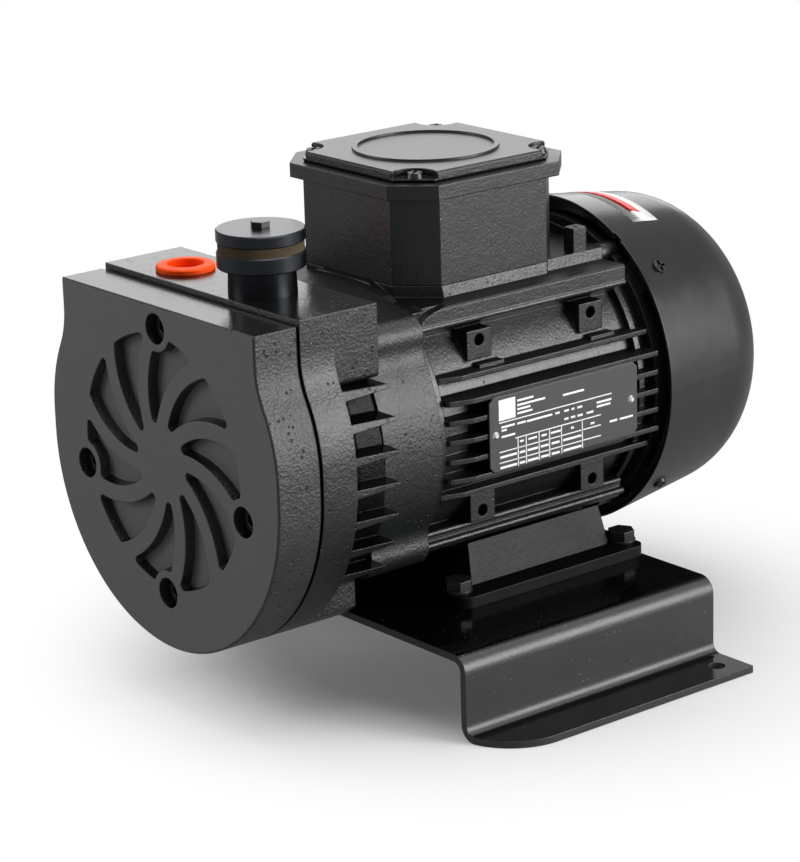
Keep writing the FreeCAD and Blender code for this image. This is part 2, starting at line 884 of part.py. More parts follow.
def shield_blends(y0, y1):
    """Hollow fillets between the shield's barrel and its lugs; above, the lugs run into the crown."""
    lug_at = math.hypot(shield_lug_x, shield_lug_z)
    lug_turn = math.atan2(shield_lug_z, shield_lug_x)
    far = shield_r + shield_blend_r
    near = shield_lug_r + shield_blend_r
    turn = math.acos((far ** 2 + lug_at ** 2 - near ** 2) / (2 * far * lug_at))
    out = []
    for way in (-1, 1):
        x, z = far * math.cos(lug_turn + way * turn), far * math.sin(lug_turn + way * turn)
        on_barrel = (x * shield_r / far, z * shield_r / far)
        on_lug = (shield_lug_x + (x - shield_lug_x) * shield_lug_r / near,
                  shield_lug_z + (z - shield_lug_z) * shield_lug_r / near)
        wedge = slab([on_barrel, on_lug, (shield_lug_x, shield_lug_z)], y0, y1)
        out.append(wedge.cut(rod(shield_blend_r, y0 - overrun, y1 + overrun, x, z)))
    low = [piece.mirror(V(0, 0, 0), V(0, 0, 1)) for piece in out]
    return both_sides(out[0]) + both_sides(low[0]) + both_sides(low[1])


def front_shield_shape():
    y0 = flange_y
    y1 = frame_front_y
    face = y0 + shield_face_t
    shell = rod(shield_r, y0, y1).fuse(block(-shield_lug_x, shield_lug_x, y0, y1, 0, shield_r))
    solids = [shell.common(arch(0.0, y0, y1)), rod(bore_r - nest_gap, y1, y1 + spigot_len)]
    lug = rod(shield_lug_r, y0, y1, shield_lug_x, shield_lug_z)
    solids += at_tie_screws(lug) + shield_blends(y0, y1)
    body = joined(solids)
    inside = rod(shield_r - shield_wall, face, y1 - shield_rim_land).common(arch(shield_wall, face, y1))
    inside = inside.fuse(rod(bore_r - spigot_wall, face, y1 + spigot_len + overrun))
    hub_end = front_bearing_y + bearing_len + shield_hub_tail
    keep = [rod(bearing_out_r + shield_hub_wall, face - overrun, hub_end)]
    for x, z in housing_screw_places():
        keep.append(rod(screw_pillar_r, face - overrun, face + screw_pillar_len, x, z))
    keep += at_tie_screws(rod(shield_lug_r, face - overrun, y1, shield_lug_x, shield_lug_z))
    body = body.cut(inside.cut(keep))
    tools = [rod(bearing_out_r, front_bearing_y, y1 + 1), rod(shaft_mid_r + 0.5, y0 - 1, face)]
    head = tie_head_y()
    tools += at_tie_screws(rod(m5_hole_r, y0 - 1, y1 + 1, tie_x, tie_z))
    tools += at_tie_screws(rod(m5_head_r + head_slack, y0 - 1, head + m5_head, tie_x, tie_z))
    for x, z in housing_screw_places():
        tools.append(rod(m6_r, y0 - 1, face + screw_pillar_len + overrun, x, z))
    return cut_all(body, tools)


def tie_head_y():
    """Front of the tie screws' heads, sunk below the motor's flange face."""
    return flange_y + 1.0


def tie_screws():
    shape = socket_screw(m5_head_r, m5_head, m5_r, tie_screw_len, tie_head_y(), tie_x, tie_z)
    return group(at_tie_screws(shape))


def rear_shield_shape():
    y0 = frame_rear_y
    y1 = y0 + rear_shield_len
    seat_y = rear_bearing_y + bearing_len + wave_t
    solids = [rod(rear_collar_r, y0, y1), rod(bore_r - nest_gap, y0 - spigot_len, y0),
              rod(bearing_out_r + rear_hub_wall, rear_bearing_y - shield_hub_tail, y0)]
    solids += at_tie_screws(rod(m5_r + frame_boss_wall, y0, y1, rear_tie_x, rear_tie_z))
    ear_end = cowl_front_y + ear_len
    limit = turned([(0, y1 - ear_root), (cowl_inner_r(y1 - ear_root) - nest_gap, y1 - ear_root),
                    (cowl_inner_r(ear_end) - nest_gap, ear_end), (0, ear_end)])
    for turn in cowl_screw_turns():
        ear = block(rear_collar_r - 2 * ear_root, cowl_rim_r, y1 - ear_root, ear_end, -ear_half, ear_half)
        solids.append(spun(ear, turn).common(limit))
    body = joined(solids)
    cavity = tube(bore_r - spigot_wall, bearing_out_r + rear_hub_wall, y0 - spigot_len - overrun,
                  y0 + rear_rim_land)
    tools = [cavity, rod(bearing_out_r, rear_bearing_y - 2, seat_y),
             rod(shaft_fan_r + shaft_slack, seat_y - 1, y1 + 1)]
    tools += at_tie_screws(rod(m5_hole_r, y0 - overrun, y1 + overrun, rear_tie_x, rear_tie_z))
    tools += cowl_screw_holes(lid_screw_r, cowl_screw_len + overrun)
    return cut_all(body, tools)


def cowl_screw_turns():
    a = cowl_screw_angle
    return (a, 180 - a, 180 + a, -a)


def cowl_screw_holes(r, depth):
    """Bores of the four cowl screws, from a depth below the cowl's skin outwards."""
    skin = cowl_inner_r(cowl_screw_y) + cowl_wall
    hole = Part.makeCylinder(r, depth + overrun, V(skin - depth, cowl_screw_y, 0), V(1, 0, 0))
    return [spun(hole, turn) for turn in cowl_screw_turns()]


def rear_screws():
    length = rear_screw_len
    y1 = frame_rear_y + rear_shield_len
    head = rod(rear_head_r, y1, y1 + rear_head_h, rear_tie_x, rear_tie_z)
    shank = rod(m5_r, y1 - length + overrun, y1, rear_tie_x, rear_tie_z)
    return group(at_tie_screws(head.fuse(shank)))


def bearing_parts(y0):
    """Outer ring, inner ring and the balls in their cage of one deep groove ball bearing."""
    y1 = y0 + bearing_len
    middle = (y0 + y1) / 2
    groove = Part.makeTorus(bearing_pitch_r, ball_r + ball_gap, V(0, middle, 0), V(0, 1, 0))
    outer = tube(bearing_out_r, bearing_out_shoulder, y0, y1).cut(groove)
    inner = tube(bearing_in_shoulder, bearing_bore_r, y0, y1).cut(groove)
    cage = tube(cage_out_r, cage_in_r, middle - cage_half, middle + cage_half)
    balls = []
    for k in range(ball_count):
        angle = 2 * math.pi * k / ball_count
        centre = V(bearing_pitch_r * math.cos(angle), middle, bearing_pitch_r * math.sin(angle))
        ball = Part.makeSphere(ball_r, centre)
        way = V(centre.x, 0, centre.z)
        cage = cage.cut(Part.makeCylinder(ball_r + ball_gap, bearing_out_r, V(0, middle, 0), way))
        balls.append(ball)
    return outer, inner, group(balls + [cage])


def wave_washer_shape():
    y0 = rear_bearing_y + bearing_len
    return tube(bearing_out_r - 0.2, bearing_out_shoulder - 1.0, y0, y0 + wave_t)


# Rotating pieces


def shaft_shape():
    front_end = front_bearing_y + bearing_len
    fan_seat_y = fan_clip_y
    tail = fan_clip_y + clip_t + shaft_tail
    b = bearing_bore_r
    core_start = core_front_y - shaft_core_over[0]
    core_end = core_rear_y + shaft_core_over[1]
    shaft = turned([(0, shaft_end_y), (shaft_end_r - 1, shaft_end_y), (shaft_end_r, shaft_end_y + 1),
                    (shaft_end_r, flange_y), (b, flange_y), (b, front_end), (shaft_mid_r, front_end),
                    (shaft_mid_r, core_start), (shaft_core_r, core_start), (shaft_core_r, core_end),
                    (shaft_mid_r, core_end), (shaft_mid_r, rear_bearing_y),
                    (b, rear_bearing_y), (b, rear_bearing_y + bearing_len),
                    (shaft_fan_r, rear_bearing_y + bearing_len), (shaft_fan_r, fan_seat_y),
                    (shaft_fan_r - 1, fan_seat_y), (shaft_fan_r - 1, fan_seat_y + clip_t),
                    (shaft_fan_r, fan_seat_y + clip_t), (shaft_fan_r, tail), (0, tail)])
    keyway = block(-key_wide / 2, key_wide / 2, key_front_y(), key_front_y() + key_len,
                   shaft_end_r - key_deep, shaft_end_r + 1)
    thread = rod(m5_r, shaft_end_y - overrun, shaft_end_y + shaft_thread_len)
    return shaft.cut([keyway, thread])


def key_front_y():
    return shaft_end_y + key_setback


def key_shape():
    low = shaft_end_r - key_deep
    return block(-key_wide / 2, key_wide / 2, key_front_y(), key_front_y() + key_len, low, low + key_high)


def rotor_core_shape():
    core = tube(rotor_core_r, shaft_core_r, core_front_y, core_rear_y)
    r_in, r_out = cage_ring_r
    rings = [tube(r_out, r_in, core_front_y - cage_ring_len, core_front_y),
             tube(r_out, r_in, core_rear_y, core_rear_y + cage_ring_len)]
    return joined([core] + rings)


def vane_box(k, grow_out, grow_in, gap):
    """Space of one vane, leaning from the radial line, reaching from the rotor's rim inwards."""
    y0 = rotor_front_y
    y1 = rotor_rear_y
    outer = pump_rotor_r * math.cos(math.asin(vane_lean / pump_rotor_r))
    inner = outer - vane_high
    t = vane_t / 2 + gap
    piece = block(inner - grow_in, outer + grow_out, y0, y1, vane_lean - t, vane_lean + t)
    return spun(piece, 360.0 * k / vane_count - 90.0)


def pump_rotor_shape():
    rotor = rod(pump_rotor_r, rotor_front_y, rotor_rear_y)
    tools = []
    for k in range(vane_count):
        tools.append(vane_box(k, 5.0, vane_slack + face_gap, run_gap))
    tools.append(rod(rotor_bore_r, rotor_front_y - 1, rotor_rear_y + 1))
    tools.append(rod(washer_recess_r, rotor_front_y - 1, shaft_end_y - washer_gap))
    key_top = shaft_end_r - key_deep + key_high + washer_gap
    tools.append(block(-key_wide / 2, key_wide / 2, shaft_end_y - 1, rotor_rear_y + 1, 0, key_top))
    return cut_all(rotor, tools)


def vane_shape(k):
    """Flat carbon vane with its outer end turned to the rotor's radius."""
    plate = vane_box(k, 5.0, 0.0, 0.0)
    return plate.common(rod(pump_rotor_r, rotor_front_y, rotor_rear_y))


def rotor_washer_shape():
    y1 = shaft_end_y - washer_gap
    return tube(washer_recess_r - 1.0, m5_hole_r, y1 - washer_t, y1)


def rotor_screw_shape():
    head_y = shaft_end_y - washer_gap - washer_t - rotor_screw_head
    return socket_screw(m5_head_r, rotor_screw_head, m5_r, rotor_screw_len, head_y, 0, 0)


def fan_shape():
    hub_end = fan_clip_y
    solids = [rod(fan_hub_r, fan_front_y, hub_end), rod(fan_disc_r, fan_front_y, fan_front_y + fan_disc_t)]
    for k in range(fan_blades):
        blade = block(fan_hub_r - 3.0, fan_r, fan_front_y, hub_end - fan_blade_drop, -fan_blade_t / 2,
                      fan_blade_t / 2)
        trim = plan([(fan_r - fan_trim[0], hub_end), (fan_r + overrun, hub_end),
                     (fan_r + overrun, hub_end - fan_trim[1])], -fan_blade_t, fan_blade_t)
        solids.append(spun(blade.cut(trim), 360.0 * k / fan_blades))
    fan = joined(solids)
    return fan.cut(rod(shaft_fan_r, fan_front_y - 1, hub_end + 1))


def clip_shape():
    ring = tube(shaft_fan_r + clip_wide, shaft_fan_r - 1, fan_clip_y, fan_clip_y + clip_t)
    return ring.cut(block(-2, 2, fan_clip_y - 1, fan_clip_y + clip_t + 1, -shaft_fan_r - clip_wide - 1, 0))


# Fan cowl


def cowl_inner_r(y):
    """Inner radius of the cowl's straight part, which tapers towards the rear."""
    return cowl_rim_r - cowl_taper * (y - cowl_front_y) - cowl_wall


def cowl_end_y():
    """Rear face of the cowl, where the round corner that continues the taper has turned square."""
    lean = math.atan(cowl_taper)
    return cowl_bend_y + cowl_corner_r * (1.0 - math.sin(lean))


def cowl_profile(inset):
    """Solid of the cowl's outline, set in by a wall thickness."""
    lean = math.atan(cowl_taper)
    r = cowl_corner_r - inset
    cx = cowl_bend_r - cowl_corner_r * math.cos(lean)
    cy = cowl_bend_y - cowl_corner_r * math.sin(lean)

    def spot(angle):
        return V(cx + r * math.cos(angle), cy + r * math.sin(angle), 0)

    flat = spot(math.pi / 2)
    rim = V(cowl_rim_r - inset / math.cos(lean), cowl_front_y, 0)
    corners = [V(0, flat.y, 0), V(0, cowl_front_y, 0), rim, spot(lean)]
    edges = [Part.LineSegment(p, q).toShape() for p, q in zip(corners, corners[1:])]
    edges.append(Part.Arc(spot(lean), spot((lean + math.pi / 2) / 2), flat).toShape())
    edges.append(Part.LineSegment(flat, corners[0]).toShape())
    return Part.Face(Part.Wire(edges)).revolve(V(0, 0, 0), V(0, 1, 0), 360)


def cowl_shape():
    shell = cowl_profile(0.0).cut(cowl_profile(cowl_wall))
    y0 = cowl_bend_y - overrun
    y1 = cowl_end_y() + overrun
    spokes = []
    for k in range(grille_spokes):
        bar = block(0, cowl_rim_r, y0, y1, -grille_spoke / 2, grille_spoke / 2)
        spokes.append(spun(bar, 360.0 * (k + 0.5) / grille_spokes))
    for r_in, r_out in grille_rings:
        shell = shell.cut(tube(r_out, r_in, y0, y1).cut(spokes))
    notch = block(cowl_rim_r - 2 * cowl_wall, cowl_rim_r + overrun, cowl_front_y - overrun,
                  cowl_front_y + notch_deep, -notch_wide / 2, notch_wide / 2)
    holes = cowl_screw_holes(lid_screw_r + lid_hole_gap, 2 * cowl_wall)
    return shell.cut(holes + [spun(notch, notch_angle)])


def cowl_screws():
    r0 = cowl_inner_r(cowl_screw_y) + cowl_wall
    skin = cowl_profile(0.0)
    tip = r0 - cowl_screw_len
    top = r0 + cowl_head_h
    head = Part.makeCone(cowl_head_r, cowl_head_r - pan_slope, cowl_head_h + overrun,
                         V(r0 - overrun, cowl_screw_y, 0), V(1, 0, 0))
    shank = Part.makeCylinder(lid_screw_r, cowl_screw_len, V(tip, cowl_screw_y, 0), V(1, 0, 0))
    cross = []
    for wide_y, wide_z in ((cross_r, cross_wide / 2), (cross_wide / 2, cross_r)):
        cross.append(block(top - cross_deep, top + overrun, cowl_screw_y - wide_y, cowl_screw_y + wide_y,
                           -wide_z, wide_z))
    screw = head.cut(skin).fuse(shank).cut(cross)
    return group([spun(screw, turn) for turn in cowl_screw_turns()])


# Terminal box


def box_screw_places():
    return box_corners(box_half - box_screw_inset)


def box_corners(reach):
    """Four places about the terminal box's upright line."""
    return [(x, box_mid_y + y) for x in (-reach, reach) for y in (-reach, reach)]


def terminal_box_shape():
    outer = bevelled_square(box_half, box_corner, box_low_z, box_rim_low_z, box_mid_y)
    rim = bevelled_square(box_rim_half, box_rim_corner, box_rim_low_z, box_rim_top_z, box_mid_y)
    boss_start = V(-box_half - cable_boss_len, box_mid_y, cable_z)
    boss = Part.makeCylinder(cable_boss_r, cable_boss_len + box_wall, boss_start, V(1, 0, 0))
    body = joined([outer, rim, boss])
    inner = bevelled_square(box_half - box_wall, box_corner - 1.0, box_low_z + box_wall, box_rim_top_z + overrun,
                            box_mid_y)
    posts = [post(box_post_r, box_low_z, box_rim_top_z, x, y) for x, y in box_corners(lid_screw)]
    body = body.cut(inner.cut(posts))
    tools = [post(cable_way_r, box_low_z - 1, box_low_z + box_wall + 1, 0, box_mid_y)]
    tools.append(Part.makeCylinder(cable_hole_r, cable_boss_len + box_wall + 2 * overrun,
                                   V(-box_half - cable_boss_len - overrun, box_mid_y, cable_z), V(1, 0, 0)))
    for x, y in box_corners(lid_screw):
        tools.append(post(lid_screw_r, box_rim_top_z - lid_thread_depth, box_rim_top_z + overrun, x, y))
    for x, y in box_screw_places():
        tools.append(post(lid_screw_r + lid_hole_gap, box_low_z - 1, box_low_z + box_wall + 1, x, y))
    return cut_all(body, tools)


def lid_gasket_shape():
    outer = bevelled_square(lid_half - lid_gasket_inset, lid_floor_corner, box_rim_top_z, lid_low_z, box_mid_y)
    inner = bevelled_square(box_half - box_wall - lid_gasket_in, box_corner + lid_gasket_corner,
                            box_rim_top_z - overrun, lid_low_z + overrun, box_mid_y)
    holes = [post(lid_screw_r + lid_hole_gap, box_rim_top_z - 1, lid_low_z + 1, x, y)
             for x, y in box_corners(lid_screw)]
    return outer.cut([inner] + holes)


def lid_shape():
    body = bevelled_square(lid_half, lid_corner, lid_low_z, lid_top_z, box_mid_y)
    top_edges = edges_where(body, lambda e: e.BoundBox.ZMin > lid_top_z - 1e-4)
    body = body.makeChamfer(lid_edge, top_edges)
    ring = post(lid_ring_r, lid_top_z - 0.5, lid_top_z + lid_ring_high, 0, box_mid_y)
    ring = ring.cut(post(lid_ring_r - lid_ring_wide, lid_top_z - 1, lid_top_z + 2, 0, box_mid_y))
    floor_top = lid_low_z + lid_floor_t
    notches = box_corners(lid_screw + lid_pocket_out)
    body = body.cut([post(lid_pocket_r, floor_top, lid_top_z + 1, x, y) for x, y in notches])
    base = bevelled_square(lid_half, lid_floor_corner, lid_low_z, floor_top, box_mid_y)
    body = joined([body, ring, base])
    hole_r = lid_screw_r + lid_hole_gap
    tools = [post(hole_r, lid_low_z - 1, lid_top_z, x, y) for x, y in box_corners(lid_screw)]
    tools.append(bevelled_square(box_half - box_wall - lid_hollow_in, box_corner, lid_low_z - overrun,
                                 lid_low_z + lid_hollow, box_mid_y))
    return cut_all(body, tools)


def lid_screws():
    """Pan head screws with a cross recess in the lid's corner pockets."""
    seat = lid_low_z + lid_floor_t
    top = seat + lid_head_h
    screws = []
    for x, y in box_corners(lid_screw):
        head = Part.makeCone(lid_head_r, lid_head_r - pan_slope, lid_head_h, V(x, y, seat), V(0, 0, 1))
        shank = post(lid_screw_r, box_rim_top_z - lid_thread_depth + overrun, seat, x, y)
        cross = []
        for turn in (35, 125):
            slot = block(x - cross_r, x + cross_r, y - cross_wide / 2, y + cross_wide / 2, top - cross_deep,
                         top + overrun)
            slot.rotate(V(x, y, 0), V(0, 0, 1), turn)
            cross.append(slot)
        screws.append(head.fuse(shank).cut(cross))
    return group(screws)


def box_screws():
    seat = box_low_z + box_wall
    screws = []
    for x, y in box_screw_places():
        head = Part.makeCone(lid_head_r, lid_head_r - pan_slope, lid_head_h, V(x, y, seat), V(0, 0, 1))
        screws.append(head.fuse(post(lid_screw_r, box_low_z - box_screw_depth + overrun, seat, x, y)))
    return group(screws)


def terminal_block_parts():
    """Six-stud terminal board on two feet above the cable opening, with its studs and nuts."""
    z0 = box_low_z + box_wall
    low = z0 + board_low
    top = low + board_t
    y0, y1 = (box_mid_y + y for y in board_y)
    half = board_half_x
    solids = [block(-half, half, y0, y1, low, top)]
    solids += both_sides(block(half - board_foot, half, y0, y1, z0, low))
    solids += both_sides(block(board_rib_x - board_rib_t / 2, board_rib_x + board_rib_t / 2, y0, y1, top,
                               top + board_rib_h))
    base = joined(solids)
    studs = []
    for x in stud_x:
        for y in stud_y:
            place = (x, box_mid_y + y)
            base = base.cut(post(stud_r, low - stud_sink, top + overrun, *place))
            stud = post(stud_r, low - stud_sink, low - stud_sink + stud_len, *place)
            studs.append(stud.fuse(hexagon(stud_nut_af, top, top + stud_nut_h, *place)))
    return base, group(studs)


# Nameplate


def nameplate_shape():
    x0 = side_fin_tip_x
    y0 = plate_mid_y - plate_len / 2
    y1 = plate_mid_y + plate_len / 2
    plate = block(x0, x0 + plate_t, y0, y1, -plate_half_z, plate_half_z)
    plate = plate.makeChamfer(plate_corner, edges_where(plate, lambda e: runs_along(e, 0)))
    holes = plate_rivet_shapes(0.05)
    return plate.cut(holes)


def rivet_places():
    reach = plate_len / 2 - rivet_inset
    return [(plate_mid_y - reach, rivet_z), (plate_mid_y + reach, rivet_z)]


def plate_rivet_shapes(gap):
    start = side_fin_tip_x - rivet_len
    length = rivet_len + plate_t + overrun
    return [Part.makeCylinder(rivet_shank_r + gap, length, V(start, y, z), V(1, 0, 0))
            for y, z in rivet_places()]


def rivets():
    out = []
    for y, z in rivet_places():
        x0 = side_fin_tip_x + plate_t
        head = Part.makeCone(rivet_r, rivet_r * 0.5, rivet_h, V(x0, y, z), V(1, 0, 0))
        shank = Part.makeCylinder(rivet_shank_r, rivet_len + plate_t, V(side_fin_tip_x - rivet_len, y, z),
                                  V(1, 0, 0))
        out.append(head.fuse(shank))
    return group(out)


# Pump housing, gasket and cover


def pump_outline(top_z, inset):
    """Closed face across the shaft: flat top, straight flanks, S-shaped shoulders and a round belly."""
    x0 = outline_half_x - inset
    r = outline_r - inset
    dx = outline_r - outline_half_x
    dz = shoulder_top_z - shoulder_low_z
    turn = 2 * math.atan2(dx, dz)
    total = dz / math.sin(turn)
    inner_r = shoulder_inner_r + inset
    outer_r = total - shoulder_inner_r - inset
    cx = x0 + inner_r
    ox = r - outer_r

    def on_inner(a):
        return V(cx - inner_r * math.cos(a), 0, shoulder_top_z - inner_r * math.sin(a))

    def on_outer(a):
        return V(ox + outer_r * math.cos(a), 0, shoulder_low_z + outer_r * math.sin(a))

    top = top_z - inset
    right = [Part.LineSegment(V(x0, 0, top), V(x0, 0, shoulder_top_z)).toShape(),
             Part.Arc(on_inner(0), on_inner(turn / 2), on_inner(turn)).toShape(),
             Part.Arc(on_outer(turn), on_outer(turn / 2), on_outer(0)).toShape(),
             Part.LineSegment(V(r, 0, shoulder_low_z), V(r, 0, outline_z)).toShape()]
    belly = Part.Arc(V(r, 0, outline_z), V(0, 0, outline_z - r), V(-r, 0, outline_z)).toShape()
    left = [other_side(e) for e in right]
    lid = Part.LineSegment(V(-x0, 0, top), V(x0, 0, top)).toShape()
    edges = Part.__sortEdges__([lid] + right + [belly] + left)
    return Part.Face(Part.Wire(edges))


def outline_solid(top_z, inset, y0, y1):
    face = pump_outline(top_z, inset)
    face.translate(V(0, y0, 0))
    return face.extrude(V(0, y1 - y0, 0))


def housing_screw_places():
    a = math.radians(housing_screw_angle)
    x = housing_screw_circle_r * math.cos(a)
    z = housing_screw_circle_r * math.sin(a)
    return [(x, z), (-x, z), (x, -z), (-x, -z)]


def cover_screw_places():
    out = []
    for angle in (90.0, -cover_screw_low, 180.0 + cover_screw_low, -90.0):
        a = math.radians(angle)
        out.append((cover_screw_r * math.cos(a), cover_screw_z + cover_screw_r * math.sin(a)))
    return out


def housing_rib(z):
    """Level rib behind the housing's band, thick at the band and thin at its rear tip."""
    y0 = band_rear_y - 1.0
    y1 = flange_y
    t0 = rib_root_t / 2
    t1 = rib_tip_t / 2
    x0 = math.sqrt(housing_core_r ** 2 - (z - outline_z) ** 2) - 4.0
    wire = Part.makePolygon([V(x0, y0, z - t0), V(x0, y1, z - t1), V(x0, y1, z + t1), V(x0, y0, z + t0),
                             V(x0, y0, z - t0)])
    return Part.Face(wire).extrude(V(outline_r - x0, 0, 0))


def housing_block():
    """Upper block behind the band, its lower outer edges rounded."""
    shape = block(-outline_half_x, outline_half_x, band_rear_y - 1, flange_y, block_low_z, housing_top_z)
    low = edges_where(shape, lambda e: runs_along(e, 1) and e.BoundBox.ZMax < block_low_z + 1e-4)
    return shape.makeFillet(block_round, low)


def housing_shape():
    y0 = housing_front_y
    y1 = flange_y
    band = outline_solid(housing_top_z, 0.0, y0, band_rear_y)
    core = rod(housing_core_r, band_rear_y - 1, y1, 0, outline_z)
    r_in = housing_core_r - 2.0
    elbow = (outline_r - (outline_r - housing_core_r) * 0.62, band_rear_y + housing_cove * 0.25)
    end = band_rear_y + housing_cove
    cove = turned([(r_in, band_rear_y - 1), (outline_r, band_rear_y - 1), (outline_r, band_rear_y), elbow,
                   (housing_core_r, end), (r_in, end)])
    cove.translate(V(0, 0, outline_z))
    cove = cove.common(outline_solid(housing_top_z, 0.0, band_rear_y - 2, band_rear_y + housing_cove + 1))
    belly = rod(outline_r, band_rear_y - 1, y1, 0, outline_z)
    belly = belly.common(block(-belly_half_x, belly_half_x, y0, y1, outline_z - outline_r, outline_z))
    limit = outline_solid(housing_top_z, 0.0, band_rear_y - 2, y1)
    solids = [band, core, cove, housing_block(), belly]
    for z in rib_z:
        solids += both_sides(housing_rib(z).common(limit))
    body = joined(solids)
    tools = [rod(chamber_r, y0 - 1, chamber_back_y, 0, chamber_z), rod(shaft_mid_r, y0, y1 + 1),
             rod(seal_r, y1 - seal_len, y1 + 1)]
    for x, z in housing_screw_places():
        tools.append(rod(m6_r + head_slack, y0 - 1, y1 + 1, x, z))
        tools.append(rod(m6_cap_r + head_slack, y0 - 1, y0 + m6_cap + 1.0, x, z))
    for x, z in cover_screw_places():
        tools.append(rod(m6_r, y0 - 1, y0 + cover_thread_len, x, z))
    for x in (inlet_x, outlet_x):
        tools.append(post(port_thread_r, housing_top_z - port_thread_len, housing_top_z + 1, x, port_y))
        tools.append(post(port_hole_r, chamber_z, housing_top_z, x, port_y))
    return cut_all(body, tools)


def gasket_shape():
    y0 = gasket_front_y
    y1 = housing_front_y
    sheet_shape = outline_solid(cover_top_z, gasket_inset, y0, y1)
    tools = [rod(chamber_r, y0 - 1, y1 + 1, 0, chamber_z)]
    for x, z in cover_screw_places():
        tools.append(rod(m6_r + head_slack, y0 - 1, y1 + 1, x, z))
    return cut_all(sheet_shape, tools)


def swirl_rib(k):
    """Curved rib of the cover: a band along an arc that starts at the hub's centre and bends clockwise."""
    start = math.radians(swirl_start_angle - 360.0 * k / swirl_ribs)
    side = start - math.pi / 2
    cx = swirl_arc_r * math.cos(side)
    cz = swirl_arc_r * math.sin(side)
    full = 2 * math.asin(min(0.99, (swirl_r + 4.0) / (2 * swirl_arc_r)))
    radii = (swirl_arc_r - swirl_rib_wide / 2, swirl_arc_r + swirl_rib_wide / 2)

    def spot(r, turn):
        a = start + math.pi / 2 - turn
        return V(cx + r * math.cos(a), 0, cz + r * math.sin(a))

    r0, r1 = radii
    edges = [Part.Arc(spot(r1, 0), spot(r1, full / 2), spot(r1, full)).toShape(),
             Part.LineSegment(spot(r1, full), spot(r0, full)).toShape(),
             Part.Arc(spot(r0, full), spot(r0, full / 2), spot(r0, 0)).toShape(),
             Part.LineSegment(spot(r0, 0), spot(r1, 0)).toShape()]
    return Part.Face(Part.Wire(edges))


def disc(r, x, z):
    return Part.Face(Part.Wire(Part.makeCircle(r, V(x, 0, z), V(0, 1, 0))))


def swirl_pockets():
    """The ten rounded pockets between the curved ribs, ready to be cut out of the cover's face."""
    field = disc(swirl_r, 0, 0)
    keep = [swirl_rib(k) for k in range(swirl_ribs)]
    keep.append(disc(swirl_hub_r, swirl_hub_x, 0))
    for x, z in cover_screw_places():
        keep.append(disc(cover_boss_r, x, z - cover_screw_z))
    left = field.cut(keep)
    pockets = []
    for face in left.Faces:
        shrunk = face.makeOffset2D(-swirl_round - swirl_draft)
        mouth = shrunk.makeOffset2D(swirl_round + swirl_draft).OuterWire
        bed = shrunk.makeOffset2D(swirl_round).OuterWire
        bed.translate(V(0, swirl_depth, 0))
        pocket = Part.makeLoft([mouth, bed], True, True)
        pocket.translate(V(0, cover_front_y, cover_screw_z))
        pockets.append(pocket)
    return pockets


def cover_shape():
    y0 = cover_front_y
    y1 = gasket_front_y
    body = outline_solid(cover_top_z, 0.0, y0, y1)
    rim = edges_where(body, lambda e: e.BoundBox.YMax < y0 + 1e-4 or e.BoundBox.YMin > y1 - 1e-4)
    body = body.makeChamfer(cover_edge, rim)
    tools = swirl_pockets()
    for x, z in cover_screw_places():
        tools.append(rod(m6_r + head_slack, y0 - 1, y1 + 1, x, z))
        tools.append(rod(cover_bore_r, y0 - 1, y0 + cover_bore_depth, x, z))
    return cut_all(body, tools)


def cover_screws():
    screws = []
    for x, z in cover_screw_places():
        head_y = cover_front_y + cover_bore_depth - m6_cap
        shank = housing_front_y + cover_thread_len - 1.0 - head_y - m6_cap
        screws.append(socket_screw(m6_cap_r, m6_cap, m6_r, shank, head_y, x, z))
    return group(screws)


def housing_screws():
    screws = []
    head_y = housing_front_y + 1.0
    for x, z in housing_screw_places():
        shank = flange_y + shield_face_t + 7.0 - head_y - m6_cap
        screws.append(socket_screw(m6_cap_r, m6_cap, m6_r, shank, head_y, x, z))
    return group(screws)


def seal_shape():
    y0 = flange_y - seal_len
    return tube(seal_r - nest_gap, shaft_end_r + run_gap, y0, flange_y - 0.3)


# Plug and silencer


def plug_shape():
    """Soft transport plug: a flange on the housing's top round a hollow stem in the inlet port."""
    z0 = housing_top_z
    top = z0 + plug_flange_t
    r = plug_hole_r
    e = plug_edge
    stem_r = port_thread_r - face_gap
    low = z0 - plug_stem_len
    return turned_up([(r, top), (r + e, top + e / 2), (plug_flange_r - e, top), (plug_flange_r, top - e),
                      (plug_flange_r, z0), (stem_r, z0), (stem_r, low), (0, low), (0, low + plug_end_t),
                      (r, low + plug_end_t)], inlet_x, port_y)


def silencer_body_shape():
    z0 = housing_top_z
    low_r, high_r = silencer_neck_r[1], silencer_neck_r[0]
    low = z0 - silencer_stem_len
    r = silencer_disc_r
    e = silencer_edge
    body = turned_up([(0, low), (port_thread_r, low), (port_thread_r, z0), (low_r, z0),
                      (high_r, silencer_neck_top), (r - e, silencer_neck_top),
                      (r, silencer_neck_top + e), (r, silencer_disc_top - e),
                      (r - e, silencer_disc_top), (0, silencer_disc_top)], outlet_x, port_y)
    way_top = silencer_disc_top - silencer_roof
    tools = [post(port_hole_r, low - overrun, way_top, outlet_x, port_y),
             post(silencer_thread_r, way_top + 1.0, silencer_disc_top + overrun, outlet_x, port_y)]
    for k in range(vent_count):
        a = 2 * math.pi * k / vent_count
        x = outlet_x + port_hole_r * math.cos(a)
        y = port_y + port_hole_r * math.sin(a)
        tools.append(post(vent_r, way_top - 2 * vent_r, silencer_disc_top + overrun, x, y))
    return cut_all(body, tools)


def felt_shape():
    ring = post(felt_r, felt_low_z, cap_low_z, outlet_x, port_y)
    return ring.cut(post(felt_hole_r, felt_low_z, cap_low_z, outlet_x, port_y))


